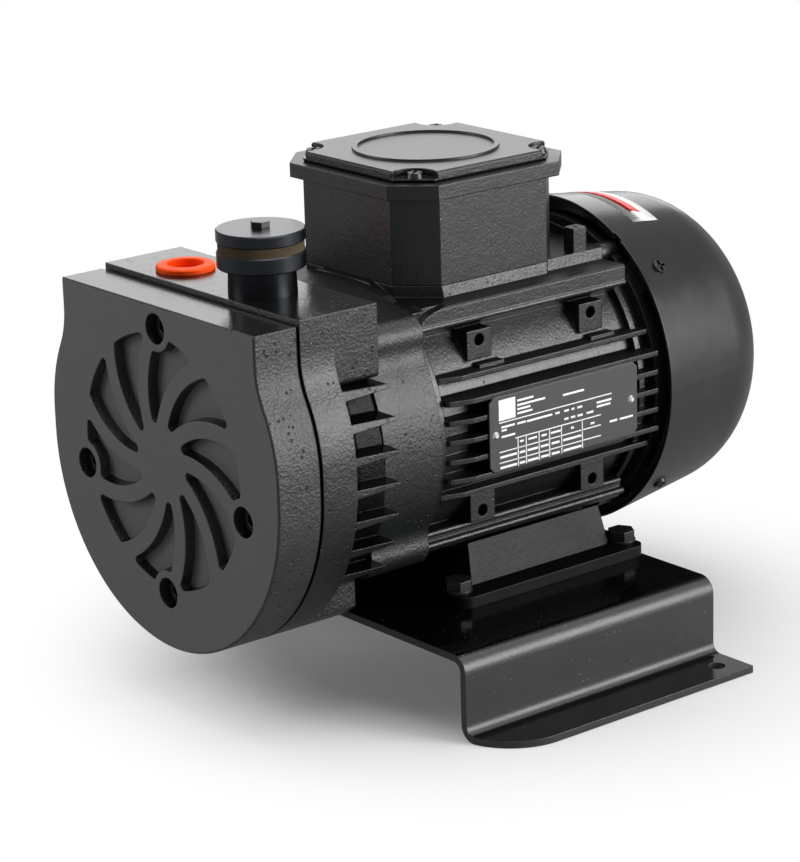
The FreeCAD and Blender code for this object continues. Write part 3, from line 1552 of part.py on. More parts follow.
def cap_shape():
    r = silencer_disc_r
    e = silencer_edge
    cap = turned_up([(0, cap_low_z), (r - e, cap_low_z), (r, cap_low_z + e), (r, cap_top_z - e),
                     (r - e, cap_top_z), (0, cap_top_z)], outlet_x, port_y)
    return cap.cut(post(silencer_thread_r + head_slack, cap_low_z - 1, cap_top_z + 1, outlet_x, port_y))


def silencer_bolt_shape():
    low = silencer_disc_top - silencer_grip
    head = hexagon(silencer_head_af, cap_top_z, cap_top_z + silencer_head_h, outlet_x, port_y)
    return head.fuse(post(silencer_thread_r, low, cap_top_z, outlet_x, port_y))


def build():
    os.makedirs("parts", exist_ok=True)
    save(bracket_shape(), "base_bracket")
    save(foot_shape(), "motor_foot")
    bolts, washers, nuts = foot_bolt_parts()
    save(bolts, "foot_bolts")
    save(washers, "foot_washers")
    save(nuts, "foot_nuts")
    save(foot_screws(), "foot_screws")
    save(frame_shape(), "motor_frame")
    core, windings = stator_parts()
    save(core, "stator_core")
    save(windings, "stator_windings")
    save(front_shield_shape(), "front_shield")
    save(tie_screws(), "front_shield_screws")
    save(rear_shield_shape(), "rear_shield")
    save(rear_screws(), "rear_shield_screws")
    for name, y in (("front", front_bearing_y), ("rear", rear_bearing_y)):
        outer, inner, balls = bearing_parts(y)
        save(outer, name + "_bearing_outer")
        save(inner, name + "_bearing_inner")
        save(balls, name + "_bearing_balls")
    save(wave_washer_shape(), "wave_washer")
    save(seal_shape(), "shaft_seal")
    save(shaft_shape(), "motor_shaft")
    save(rotor_core_shape(), "rotor_core")
    save(fan_shape(), "cooling_fan")
    save(clip_shape(), "fan_clip")
    save(cowl_shape(), "fan_cowl")
    save(cowl_screws(), "cowl_screws")
    save(terminal_box_shape(), "terminal_box")
    save(box_screws(), "terminal_box_screws")
    board, studs = terminal_block_parts()
    save(board, "terminal_board")
    save(studs, "terminal_studs")
    save(lid_gasket_shape(), "lid_gasket")
    save(lid_shape(), "terminal_box_lid")
    save(lid_screws(), "lid_screws")
    save(nameplate_shape(), "nameplate")
    save(rivets(), "nameplate_rivets")
    save(housing_shape(), "pump_housing")
    save(housing_screws(), "housing_screws")
    save(gasket_shape(), "cover_gasket")
    save(cover_shape(), "end_cover")
    save(cover_screws(), "cover_screws")
    save(pump_rotor_shape(), "pump_rotor")
    save(key_shape(), "rotor_key")
    save(rotor_washer_shape(), "rotor_washer")
    save(rotor_screw_shape(), "rotor_screw")
    for k in range(vane_count):
        save(vane_shape(k), "vane_" + str(k + 1))
    save(plug_shape(), "port_plug")
    save(silencer_body_shape(), "silencer_body")
    save(felt_shape(), "silencer_felt")
    save(cap_shape(), "silencer_cap")
    save(silencer_bolt_shape(), "silencer_bolt")


build()
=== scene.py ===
"""Looks of the dry rotary vane vacuum pump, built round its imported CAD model."""

import math

import bmesh
import bpy
from bpy.props import FloatProperty, FloatVectorProperty, PointerProperty
from mathutils import Matrix, Vector


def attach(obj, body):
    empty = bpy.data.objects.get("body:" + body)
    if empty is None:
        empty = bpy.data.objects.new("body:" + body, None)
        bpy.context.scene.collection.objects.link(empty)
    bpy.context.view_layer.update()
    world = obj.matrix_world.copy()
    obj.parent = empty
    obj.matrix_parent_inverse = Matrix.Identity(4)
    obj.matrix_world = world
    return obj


bl_info = {
    "name": "Dry rotary vane vacuum pump",
    "version": (1, 0, 0),
    "blender": (4, 5, 0),
    "location": "View3D > Sidebar > Pump",
    "description": "Finishes, label, nameplate rules and studio for a dry rotary vane vacuum pump",
    "category": "Object",
}

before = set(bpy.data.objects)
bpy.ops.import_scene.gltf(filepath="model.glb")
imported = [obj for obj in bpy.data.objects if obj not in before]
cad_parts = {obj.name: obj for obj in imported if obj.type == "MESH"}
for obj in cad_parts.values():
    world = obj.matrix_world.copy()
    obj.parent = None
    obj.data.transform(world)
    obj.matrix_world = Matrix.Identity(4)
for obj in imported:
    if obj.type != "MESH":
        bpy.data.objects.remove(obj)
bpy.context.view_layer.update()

MM = 0.001
SHAFT = Vector((0.0, 0.0, 0.106))
SHAFT_WAY = Vector((0.0, 1.0, 0.0))


# Shader nodes


class Reading:
    """A shader socket that can stand in plain arithmetic."""

    def __init__(self, wiring, socket):
        self.wiring = wiring
        self.socket = socket

    def _sum(self, operation, *parts):
        """Adds a Math node that works on the parts in their order."""
        return self.wiring.node("ShaderNodeMath", {"operation": operation}, dict(enumerate(parts)))

    def __add__(self, other):
        return self._sum("ADD", self, other)

    __radd__ = __add__

    def __sub__(self, other):
        return self._sum("SUBTRACT", self, other)

    def __rsub__(self, other):
        return self._sum("SUBTRACT", other, self)

    def __mul__(self, other):
        return self._sum("MULTIPLY", self, other)

    __rmul__ = __mul__

    def __pow__(self, other):
        return self._sum("POWER", self, other)

    def most(self, other):
        """The larger of two readings."""
        return self._sum("MAXIMUM", self, other)

    def ease(self, start, full):
        """Nought at start, one at full and smooth between them; full may be the lower of the two."""
        inputs = {"Value": self, "From Min": start, "From Max": full}
        return self.wiring.node("ShaderNodeMapRange", {"interpolation_type": "SMOOTHSTEP"}, inputs)

    def between(self, low, high):
        """Maps nought to one onto low to high."""
        return self * (high - low) + low


class Wiring:
    """The node tree of a material or of the world, filled through one method."""

    def __init__(self, owner):
        owner.use_nodes = True
        self.tree = owner.node_tree
        self.tree.nodes.clear()

    def node(self, kind, settings, inputs, output=0):
        """Adds one node, sets it, feeds it and gives back one of its outputs."""
        made = self.tree.nodes.new(kind)
        for name, value in settings.items():
            setattr(made, name, value)
        for name, value in inputs.items():
            self.feed(made.inputs[name], value)
        return Reading(self, made.outputs[output])

    def feed(self, socket, value):
        """Links a reading to a socket, or sets the socket to a plain value."""
        if isinstance(value, Reading):
            self.tree.links.new(value.socket, socket)
        else:
            socket.default_value = value

    def ray(self, kind):
        """One for rays of a kind, such as Is Camera Ray."""
        return self.node("ShaderNodeLightPath", {}, {}, kind)

    def either(self, factor, first, second):
        """The first shader at a factor of nought, the second at one."""
        return self.node("ShaderNodeMixShader", {}, {0: factor, 1: first, 2: second})


EDGE_SAMPLES = 6


class Finish(Wiring):
    """A material on the Principled shader, built from nodes and arithmetic."""

    def __init__(self, name):
        self.material = bpy.data.materials.new(name)
        super().__init__(self.material)
        self.shader = self.tree.nodes.new("ShaderNodeBsdfPrincipled")
        self.output = self.tree.nodes.new("ShaderNodeOutputMaterial")
        self.tree.links.new(self.shader.outputs[0], self.output.inputs["Surface"])

    def set(self, **values):
        """Feeds the shader's sockets, named with underscores for blanks."""
        for name, value in values.items():
            self.feed(self.shader.inputs[name.replace("_", " ")], value)

    def mixed(self, factor, other):
        """Lets another shader take the Principled one's place by a factor."""
        base = Reading(self, self.shader.outputs[0])
        self.feed(self.output.inputs["Surface"], self.either(factor, base, other))

    def painted_shade(self, factor):
        """Paints shade: mixes in a near-black shader without gleam by a factor, for places that light hardly
        reaches.
        """
        inputs = {"Base Color": shade((0.001, 0.001, 0.001)), "Roughness": 0.9, "Specular IOR Level": 0.0}
        self.mixed(factor, self.node("ShaderNodeBsdfPrincipled", {}, inputs))

    def place(self, axis=None):
        """Object coordinates, or one axis of them, in metres."""
        spot = self.node("ShaderNodeTexCoord", {}, {}, "Object")
        if axis is None:
            return spot
        return self.node("ShaderNodeSeparateXYZ", {}, {0: spot}, axis)

    def facing(self, axis):
        """How far the surface faces along an axis of its own, from minus one to one."""
        way = self.node("ShaderNodeTexCoord", {}, {}, "Normal")
        return self.node("ShaderNodeSeparateXYZ", {}, {0: way}, axis)

    def stretched(self, x, y, z):
        """Object coordinates scaled along each axis, for drawn-out patterns."""
        return self.node("ShaderNodeMapping", {}, {"Vector": self.place(), "Scale": (x, y, z)})

    def noise(self, grain, detail=2.0, rough=0.5, spot=None):
        """Noise whose features are about one grain across, in metres."""
        inputs = {"Vector": spot or self.place(), "Scale": 1.0 / grain, "Detail": detail, "Roughness": rough}
        return self.node("ShaderNodeTexNoise", {}, inputs)

    def cells(self, grain):
        """Distance from the middle of scattered cells about one grain across, as a share of it."""
        inputs = {"Vector": self.place(), "Scale": 1.0 / grain, "Randomness": 1.0}
        return self.node("ShaderNodeTexVoronoi", {"feature": "F1"}, inputs)

    def blend(self, factor, low, high):
        """Colour between two others, on the colour sockets of a Mix node."""
        settings = {"data_type": "RGBA", "blend_type": "MIX"}
        return self.node("ShaderNodeMix", settings, {0: factor, 6: low, 7: high}, 2)

    def tones(self, factor, colour, low, high):
        """Colour between two tints of one."""
        return self.blend(factor, shade(colour, low), shade(colour, high))

    def softened(self, radius):
        """Normals rounded over sharp edges."""
        return self.node("ShaderNodeBevel", {"samples": EDGE_SAMPLES}, {"Radius": radius})

    def bumped(self, height, depth, normal=None):
        """Normal from a height of nought to one that stands for a depth in metres."""
        inputs = {"Height": height, "Distance": depth, "Strength": 1.0}
        if normal is not None:
            inputs["Normal"] = normal
        return self.node("ShaderNodeBump", {}, inputs)


def tinted(colour, share):
    """A colour with each part times a share, up to full."""
    return tuple(min(1.0, part * share) for part in colour)


def shade(colour, share=1.0):
    """Opaque colour for a socket, tinted by a share."""
    return (*tinted(colour, share), 1.0)


# Finishes, with lengths in metres


PIT_PITCH = 0.0034
PIT_RIM, PIT_FLOOR = 0.22, 0.12
PIT_DEEP = 1.5

# Painted shade between the pump housing's ribs: the height of the core's middle, the distances from it where
# the shade starts and is full going in, and the heights where it starts and is full going down
CORE_AT = 0.103
CORE_RADII = (0.0685, 0.0668)
RIBS_TOP = (0.1405, 0.1385)
RIB_SHADE = 0.75


def sand_pits(finish, spread, rare, common):
    """One inside small pits that gather in patches, nought outside; higher limits make them rarer."""
    patches = finish.noise(spread).ease(rare, common)
    return finish.cells(PIT_PITCH).ease(PIT_RIM, PIT_FLOOR) * patches


def rib_pocket_shade(finish):
    """One where shade is painted: in the pockets between the pump housing's ribs and on the ribs' upper
    faces.
    """
    x, z = finish.place("X"), finish.place("Z")
    away = (x ** 2.0 + (z - CORE_AT) ** 2.0) ** 0.5
    return away.ease(*CORE_RADII).most(finish.facing("Z").ease(0.5, 0.8)) * z.ease(*RIBS_TOP)


def cast_black(name, colour, grain, depth, rough, top_rough=None, shine=0.5, pitted=1.0, top_shade=0.12,
               shade_rib_pockets=False):
    """Thick black paint over a sand-cast skin with pits painted darker as shade; upper faces get painted
    shade, and a rough of their own makes them smooth.
    """
    finish = Finish(name)
    pits = sand_pits(finish, 0.014, 0.5, 0.62) * pitted
    patches = finish.noise(0.02, 3.0, 0.6)
    up = finish.facing("Z").ease(0.86, 0.97)
    smooth = 0.0 if top_rough is None else up
    skin = finish.noise(grain, 3.0, 0.62) * 0.7 + finish.noise(grain * 5.0) * 0.6
    height = (skin - pits * PIT_DEEP) * (1.0 - smooth * 0.75)
    skin_rough = patches.between(rough + 0.06, rough - 0.06)
    if top_rough is not None:
        skin_rough = skin_rough * (1.0 - smooth) + smooth * top_rough
    paint = finish.tones(patches.ease(0.3, 0.7), colour, 0.8, 1.2)
    # Pits are painted darker, as shade in them.
    finish.set(Base_Color=finish.blend(pits, paint, shade(colour, 0.2)), Roughness=skin_rough,
               Specular_IOR_Level=shine, Normal=finish.bumped(height, depth, finish.softened(0.0007)))
    # Upper faces are painted with shade by the given share.
    dull = up * top_shade
    # The pockets between the housing's ribs and the ribs' upper faces get painted shade.
    if shade_rib_pockets:
        dull = dull.most(rib_pocket_shade(finish) * RIB_SHADE)
    finish.painted_shade(dull)
    return finish.material


def cover_grey(colour):
    """End cover: smooth matt grey face, rough cast flanks with pits painted dark as shade, glossy top painted
    darker as shade.
    """
    finish = Finish("cover grey")
    face = finish.facing("Y").ease(-0.85, -0.95)
    top = finish.facing("Z").ease(0.9, 0.97)
    flank = (1.0 - face) * (1.0 - top)
    pits = sand_pits(finish, 0.012, 0.44, 0.54) * flank
    skin = finish.noise(0.0012, 3.0, 0.62) * 0.9 + finish.noise(0.005) * 0.4
    height = skin * (flank * 0.85 + 0.15) - pits * PIT_DEEP
    sand = finish.noise(0.0006, 3.0, 0.7).ease(0.3, 0.7)
    patches = finish.noise(0.025, 3.0, 0.6).ease(0.3, 0.7)
    paint = finish.tones(face, colour, 0.2, 1.0)
    # The top is painted darker, as shade.
    paint = finish.blend(top, paint, shade(colour, 0.05))
    paint = finish.blend(patches * 0.2, paint, shade(colour, 0.8))
    paint = finish.blend(sand * face * 0.4, paint, shade(colour, 1.6))
    # Pits on the flanks are painted near black, as shade in them.
    finish.set(Base_Color=finish.blend(pits, paint, shade((0.002, 0.002, 0.002))),
               Roughness=face * 0.62 + top * 0.13 + flank * 0.38,
               Normal=finish.bumped(height, 0.00052, finish.softened(0.0008)))
    # Painted shade on the top.
    finish.painted_shade(top * 0.12)
    return finish.material


def powder_coat(name, colour, rough, peel):
    """Powder coat with a fine orange peel and specks of dust; its flat upward faces are glossy and painted
    deep black as shade.
    """
    finish = Finish(name)
    skin = finish.noise(0.0011, 1.0, 0.4)
    specks = finish.cells(0.003).ease(0.13, 0.04) * finish.noise(0.01, 1.0).ease(0.5, 0.6)
    flat_top_gloss_and_shade = finish.facing("Z").ease(0.8, 0.97)
    # Flat upward faces are painted deep black, as shade.
    coat = finish.tones(flat_top_gloss_and_shade, colour, 1.0, 0.08)
    wall_rough = finish.noise(0.03, 3.0, 0.6).between(rough - 0.06, rough + 0.08)
    finish.set(Base_Color=finish.blend(specks * 0.6, coat, shade((0.3, 0.3, 0.29))),
               Roughness=wall_rough * (1.0 - flat_top_gloss_and_shade) + flat_top_gloss_and_shade * 0.1,
               Normal=finish.bumped(skin, peel, finish.softened(0.0005)))
    # More painted shade on the flat upward faces.
    finish.painted_shade(flat_top_gloss_and_shade * 0.65)
    return finish.material


def plain_paint(name, colour, rough, peel=0.000012):
    """Even paint or oxide with a faint peel."""
    finish = Finish(name)
    skin = finish.noise(0.0009)
    finish.set(Base_Color=shade(colour),
               Roughness=finish.noise(0.02, 3.0, 0.6).between(rough - 0.04, rough + 0.06),
               Normal=finish.bumped(skin, peel, finish.softened(0.0005)))
    return finish.material


def cowl_paint(colour):
    """Satin black on drawn sheet, with faint ripples and dull, dusty patches; glossier on top."""
    finish = Finish("cowl black")
    ripple = finish.noise(0.006) * 0.6 + finish.noise(0.0012, 3.0, 0.6) * 0.4
    dust = finish.noise(0.012, 4.0, 0.65).ease(0.4, 0.75)
    up = finish.facing("Z").ease(0.45, 0.85)
    finish.set(Base_Color=finish.tones(dust, colour, 1.0, 1.3),
               Roughness=dust.between(0.36, 0.43) * (1.0 - up) + up * 0.24,
               Normal=finish.bumped(ripple, 0.00007, finish.softened(0.0008)))
    return finish.material


LINE_PITCH = 0.0004
LINE_DEPTH = 0.000006
EVEN = (1.0, 1.0, 1.0)


def bare_metal(name, colour, rough, along=EVEN, shade_below=None):
    """Turned, ground or rolled metal with fine lines across the given stretch, with painted shade below a
    height.
    """
    finish = Finish(name)
    lines = finish.noise(LINE_PITCH, spot=finish.stretched(*along))
    finish.set(Base_Color=finish.tones(lines, colour, 0.8, 1.15), Metallic=1.0,
               Roughness=lines.between(rough - 0.06, rough + 0.1), Normal=finish.bumped(lines, LINE_DEPTH))
    if shade_below is not None:
        # Painted shade below the given height.
        finish.painted_shade(finish.place("Z").ease(shade_below + 0.0005, shade_below) * 0.5)
    return finish.material


def moulded(name, colour, rough, shine=0.5):
    """Moulded plastic, rubber or pressed carbon with a slightly uneven skin."""
    finish = Finish(name)
    skin = finish.noise(0.002)
    finish.set(Base_Color=shade(colour), Roughness=skin.between(rough - 0.03, rough + 0.05),
               Specular_IOR_Level=shine, Normal=finish.bumped(skin, 0.00001, finish.softened(0.0004)))
    return finish.material


def felted(name, colour):
    """Matted, dusty fibres."""
    finish = Finish(name)
    fibres = finish.noise(0.0005, 4.0, 0.8, finish.stretched(1.0, 1.0, 2.5))
    finish.set(Base_Color=finish.tones(fibres.ease(0.35, 0.65), colour, 0.35, 1.6), Roughness=0.95,
               Specular_IOR_Level=0.1, Normal=finish.bumped(fibres, 0.0003))
    return finish.material


# Settings


class PumpColours(bpy.types.PropertyGroup):
    casting: FloatVectorProperty(name="Castings", description="Paint of the cast pieces", subtype="COLOR",
                                 default=(0.0065, 0.0075, 0.008), min=0.0, max=1.0)
    cover: FloatVectorProperty(name="Cover", description="Paint of the pump's end cover", subtype="COLOR",
                               default=(0.09, 0.09, 0.092), min=0.0, max=1.0)
    bracket: FloatVectorProperty(name="Bracket", description="Coat of the sheet steel bracket",
                                 subtype="COLOR", default=(0.023, 0.023, 0.024), min=0.0, max=1.0)
    cowl: FloatVectorProperty(name="Cowl", description="Paint of the fan cowl", subtype="COLOR",
                              default=(0.009, 0.009, 0.01), min=0.0, max=1.0)
    plug: FloatVectorProperty(name="Plug", description="Plastic of the inlet plug", subtype="COLOR",
                              default=(0.95, 0.075, 0.0), min=0.0, max=1.0)


class StageSettings(bpy.types.PropertyGroup):
    width: FloatProperty(name="Floor", description="Width of the floor", default=8.0, unit="LENGTH")
    top_light: FloatProperty(name="Top light", description="Power of the overhead soft box",
                             default=20.0, unit="POWER")
    back_light: FloatProperty(name="Back light", description="Power of the soft box behind",
                              default=7.5, unit="POWER")
    side_light: FloatProperty(name="Side light", description="Power of the soft box on the right",
                              default=28.0, unit="POWER")
    left_light: FloatProperty(name="Left light", description="Power of the soft box on the left",
                              default=8.0, unit="POWER")


# Pieces


def dress(material, *nodes):
    """Gives CAD nodes a finish."""
    for name in nodes:
        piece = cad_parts[name]
        piece.data.materials.clear()
        piece.data.materials.append(material)


def finished_piece(bed, name, material, smooth=True):
    """Makes a bmesh an object with a finish and frees it."""
    mesh = bpy.data.meshes.new(name)
    for face in bed.faces:
        face.smooth = smooth
    bed.to_mesh(mesh)
    bed.free()
    mesh.materials.append(material)
    piece = bpy.data.objects.new(name, mesh)
    bpy.context.scene.collection.objects.link(piece)
    return piece


# Finish, its nodes, its share of the castings' colour, and its skin with the painted shade of its upper faces
CASTINGS = (
    ("cast black", ("motor_frame",), 1.0,
     {"grain": 0.0012, "depth": 0.00026, "rough": 0.36, "pitted": 0.35, "top_shade": 0.55}),
    ("shield black", ("front_shield", "rear_shield"), 1.0,
     {"grain": 0.0012, "depth": 0.00046, "rough": 0.4, "pitted": 0.35, "top_shade": 0.4}),
    # The foot's lower colour share and its upper faces carry painted shade, standing in for the motor's
    # shadow over it.
    ("foot black", ("motor_foot",), 0.6,
     {"grain": 0.001, "depth": 0.00016, "rough": 0.4, "shine": 0.15, "pitted": 0.2, "top_shade": 0.7}),
    ("box black", ("terminal_box",), 1.2,
     {"grain": 0.0011, "depth": 0.00018, "rough": 0.34, "pitted": 0.2}),
    ("housing black", ("pump_housing",), 1.0,
     {"grain": 0.0012, "depth": 0.00042, "rough": 0.36, "top_rough": 0.12, "shade_rib_pockets": True}),
    ("lid black", ("terminal_box_lid",), 1.0,
     {"grain": 0.0011, "depth": 0.0003, "rough": 0.34, "top_rough": 0.3, "pitted": 0.2}),
)


class PUMP_OT_castings(bpy.types.Operator):
    """Paints the cast pieces: motor frame, shields, foot, terminal box and pump housing"""
    bl_idname = "pump.castings"
    bl_label = "Castings"

    def execute(self, context):
        colour = tuple(context.scene.pump_colours.casting)
        for name, nodes, share, skin in CASTINGS:
            dress(cast_black(name, tinted(colour, share), **skin), *nodes)
        return {"FINISHED"}


class PUMP_OT_cover(bpy.types.Operator):
    """Paints the pump's end cover"""
    bl_idname = "pump.cover"
    bl_label = "End cover"

    def execute(self, context):
        dress(cover_grey(tuple(context.scene.pump_colours.cover)), "end_cover")
        return {"FINISHED"}


class PUMP_OT_bracket(bpy.types.Operator):
    """Coats the sheet steel bracket"""
    bl_idname = "pump.bracket"
    bl_label = "Bracket"

    def execute(self, context):
        colour = tuple(context.scene.pump_colours.bracket)
        dress(powder_coat("bracket coat", colour, rough=0.4, peel=0.00006), "base_bracket")
        return {"FINISHED"}


# The cowl's skin: its radius at a place along the shaft, and how fast it narrows from there
COWL_RADIUS = 0.0690
COWL_AT = 0.038
COWL_TAPER = 0.135

# Piece, its edges along the shaft, its ends in degrees from +X over the top, how far it lies off the skin,
# how many degrees its first end is notched by, and its paint
COWL_BANDS = (
    ("cowl_label", (0.0382, 0.0533), (64.0, 116.0), 0.00004, 0.0, (0.9, 0.89, 0.88)),
    ("cowl_arrow", (0.0425, 0.0486), (69.5, 108.0), 0.00018, 2.4, (0.75, 0.02, 0.015)),
)
BAND_STEPS = 26
BAND_THICK = 0.0001


def cowl_radius(y, lift):
    """Radius of the cowl's skin at y, raised by lift."""
    return COWL_RADIUS - COWL_TAPER * (y - COWL_AT) + lift


def cowl_band(edges, ends, lift, notch):
    """A thin band wrapped round the cowl from one end to the other."""
    bed = bmesh.new()
    places = (edges[0], (edges[0] + edges[1]) / 2, edges[1])
    start = [bed.verts.new(SHAFT + Vector((cowl_radius(y, lift), y, 0.0))) for y in places]
    strip = start + [bed.edges.new(pair) for pair in zip(start, start[1:])]
    first = Matrix.Rotation(-math.radians(ends[0]), 3, SHAFT_WAY)
    bmesh.ops.rotate(bed, cent=SHAFT, matrix=first, verts=start)
    sweep = math.radians(ends[1] - ends[0])
    bmesh.ops.spin(bed, geom=strip, cent=SHAFT, axis=SHAFT_WAY, dvec=(0.0, 0.0, 0.0), angle=-sweep,
                   steps=BAND_STEPS, use_merge=False)
    nick = Matrix.Rotation(-math.radians(notch), 3, SHAFT_WAY)
    bmesh.ops.rotate(bed, cent=SHAFT, matrix=nick, verts=start[1:2])
    bmesh.ops.solidify(bed, geom=bed.faces[:], thickness=BAND_THICK)
    bmesh.ops.recalc_face_normals(bed, faces=bed.faces[:])
    settle_order(bed)
    return bed


def settle_order(bed):
    """Puts the faces in the order of their corners, because solidify leaves them in another one each run."""
    bed.verts.index_update()
    ordered = sorted(bed.faces, key=lambda face: sorted(corner.index for corner in face.verts))
    for spot, face in enumerate(ordered):
        face.index = spot
    bed.faces.sort()


class PUMP_OT_cowl(bpy.types.Operator):
    """Paints the fan cowl and wraps the white label with its plain red arrow on it"""
    bl_idname = "pump.cowl"
    bl_label = "Fan cowl"

    def execute(self, context):
        dress(cowl_paint(tuple(context.scene.pump_colours.cowl)), "fan_cowl")
        for name, edges, ends, lift, notch, colour in COWL_BANDS:
            paint = plain_paint(name.replace("_", " "), colour, rough=0.35, peel=0.000003)
            piece = finished_piece(cowl_band(edges, ends, lift, notch), name, paint)
            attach(piece, "pump_and_motor")
        return {"FINISHED"}


class PUMP_OT_fasteners(bpy.types.Operator):
    """Blackens the bolts, screws, washers and nuts"""
    bl_idname = "pump.fasteners"
    bl_label = "Fasteners"

    def execute(self, context):
        black = plain_paint("black oxide", (0.006, 0.006, 0.007), rough=0.34)
        dress(black, "foot_bolts", "foot_washers", "foot_nuts", "foot_screws", "front_shield_screws",
              "rear_shield_screws", "cowl_screws", "lid_screws", "housing_screws", "cover_screws",
              "rotor_screw", "terminal_box_screws")
        return {"FINISHED"}


BLUED_STEEL = (0.04, 0.043, 0.048)
TURNED_RINGS = (1.0, 1.0, 10.0)
NECK_TOP = 0.1806


class PUMP_OT_silencer(bpy.types.Operator):
    """Finishes the outlet silencer: turned body and cap, felt ring and bolt"""
    bl_idname = "pump.silencer"
    bl_label = "Silencer"

    def execute(self, context):
        dress(bare_metal("turned cap", BLUED_STEEL, 0.28, TURNED_RINGS), "silencer_cap")
        dress(bare_metal("turned body", BLUED_STEEL, 0.28, TURNED_RINGS, NECK_TOP), "silencer_body")
        dress(plain_paint("bolt black", (0.008, 0.008, 0.009), rough=0.3), "silencer_bolt")
        dress(felted("dusty felt", (0.085, 0.065, 0.04)), "silencer_felt")
        return {"FINISHED"}


class PUMP_OT_plug(bpy.types.Operator):
    """Colours the soft plug in the inlet"""
    bl_idname = "pump.plug"
    bl_label = "Inlet plug"

    def execute(self, context):
        colour = tuple(context.scene.pump_colours.plug)
        dress(moulded("orange plastic", colour, rough=0.5, shine=0.15), "port_plug")
        return {"FINISHED"}


# The nameplate's upper front corner and how far its marks stand proud, in metres, and the marks in mm from
# that corner: lines and dashes as start, distance down and width
PLATE_CORNER = Vector((0.0682, -0.077, 0.123))
RULE_PROUD = 0.00006
PLATE_RULES = ((6.0, 12.4, 61.0), (14.5, 20.3, 46.3), (6.0, 24.6, 54.8), (6.0, 29.1, 54.8))
PLATE_COLUMNS = (15.9, 20.25, 27.15, 32.75, 39.25, 50.6)
PLATE_COLUMN_ENDS = (20.3, 32.2)
PLATE_FIELD = (6.0, 7.3, 8.8, 8.6)
PLATE_DASHES = ((15.8, 5.0, 8.7), (15.8, 6.9, 14.9), (15.8, 8.6, 7.0), (15.8, 10.3, 8.0), (40.2, 7.8, 11.6),
                (7.2, 14.4, 7.2), (15.6, 14.5, 4.6), (20.8, 14.6, 13.6), (36.0, 14.6, 2.4), (40.8, 14.6, 2.6),
                (44.8, 14.6, 1.6), (48.0, 14.6, 2.7), (58.6, 14.8, 8.2), (58.6, 16.5, 7.6), (7.2, 15.8, 2.9),
                (7.2, 18.4, 7.3), (40.8, 18.0, 2.3), (44.4, 18.0, 2.4), (48.0, 18.1, 2.9), (53.0, 18.0, 3.8),
                (16.9, 22.2, 2.1), (21.4, 22.2, 4.6), (28.4, 22.3, 2.9), (33.4, 22.3, 5.4), (44.4, 22.5, 1.6),
                (55.2, 22.9, 2.1), (65.6, 24.3, 4.3), (71.3, 24.4, 7.4))
PLATE_ROWS = (26.8, 31.2)
PLATE_CELLS = ((6.3, 8.9), (16.6, 3.0), (20.9, 5.7), (28.0, 4.2), (33.8, 4.3), (40.1, 9.9))
RULE_HIGH, DASH_HIGH, CELL_HIGH = 0.5, 0.9, 1.0


def plate_bars():
    """Start, distance down, width and height of every mark on the nameplate."""
    top, low = PLATE_COLUMN_ENDS
    bars = [(*rule, RULE_HIGH) for rule in PLATE_RULES]
    bars += [(start - RULE_HIGH / 2, (top + low) / 2, RULE_HIGH, low - top) for start in PLATE_COLUMNS]
    bars += [(*dash, DASH_HIGH) for dash in PLATE_DASHES]
    bars += [(start, down, wide, CELL_HIGH) for down in PLATE_ROWS for start, wide in PLATE_CELLS]
    return bars + [PLATE_FIELD]


class PUMP_OT_nameplate(bpy.types.Operator):
    """Finishes the nameplate and its rivets, and rules it with plain lines, bars and an empty table"""
    bl_idname = "pump.nameplate"
    bl_label = "Nameplate"

    def execute(self, context):
        dress(plain_paint("plate black", (0.042, 0.042, 0.043), rough=0.4, peel=0.000004), "nameplate")
        dress(bare_metal("rivet aluminium", (0.78, 0.78, 0.77), 0.3), "nameplate_rivets")
        bed = bmesh.new()
        for start, down, wide, high in plate_bars():
            bar = bmesh.ops.create_cube(bed, size=1.0)["verts"]
            bmesh.ops.scale(bed, vec=(RULE_PROUD * 2, wide * MM, high * MM), verts=bar)
            spot = PLATE_CORNER + Vector((0.0, (start + wide / 2) * MM, -down * MM))
            bmesh.ops.translate(bed, vec=spot, verts=bar)
        white = plain_paint("plate white", (0.9, 0.9, 0.88), rough=0.5)
        rules = finished_piece(bed, "nameplate_rules", white, smooth=False)
        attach(rules, "pump_and_motor")
        return {"FINISHED"}


# Finish, its colour, roughness and stretch of its lines, and its nodes
INNER_METALS = (
    ("lamination steel", (0.4, 0.4, 0.41), 0.4, (1.0, 30.0, 1.0), ("stator_core", "rotor_core")),
    ("ground steel", (0.62, 0.62, 0.62), 0.25, EVEN,
     ("motor_shaft", "rotor_key", "rotor_washer", "fan_clip", "wave_washer", "pump_rotor")),
    ("bearing steel", (0.75, 0.75, 0.76), 0.12, EVEN,
     ("front_bearing_outer", "front_bearing_inner", "front_bearing_balls", "rear_bearing_outer",
      "rear_bearing_inner", "rear_bearing_balls")),
    ("varnished copper", (0.7, 0.35, 0.18), 0.35, (20.0, 1.0, 1.0), ("stator_windings",)),
    ("stud brass", (0.78, 0.6, 0.3), 0.3, EVEN, ("terminal_studs",)),
)

# Finish, its colour, roughness and shine, and its nodes
INNER_MOULDINGS = (
    ("carbon", (0.03, 0.03, 0.032), 0.5, 0.5, ("vane_1", "vane_2", "vane_3", "vane_4")),
    ("fan plastic", (0.02, 0.02, 0.02), 0.45, 0.5, ("cooling_fan", "terminal_board")),
    ("dark rubber", (0.003, 0.003, 0.003), 0.8, 0.05, ("cover_gasket", "lid_gasket", "shaft_seal")),
)


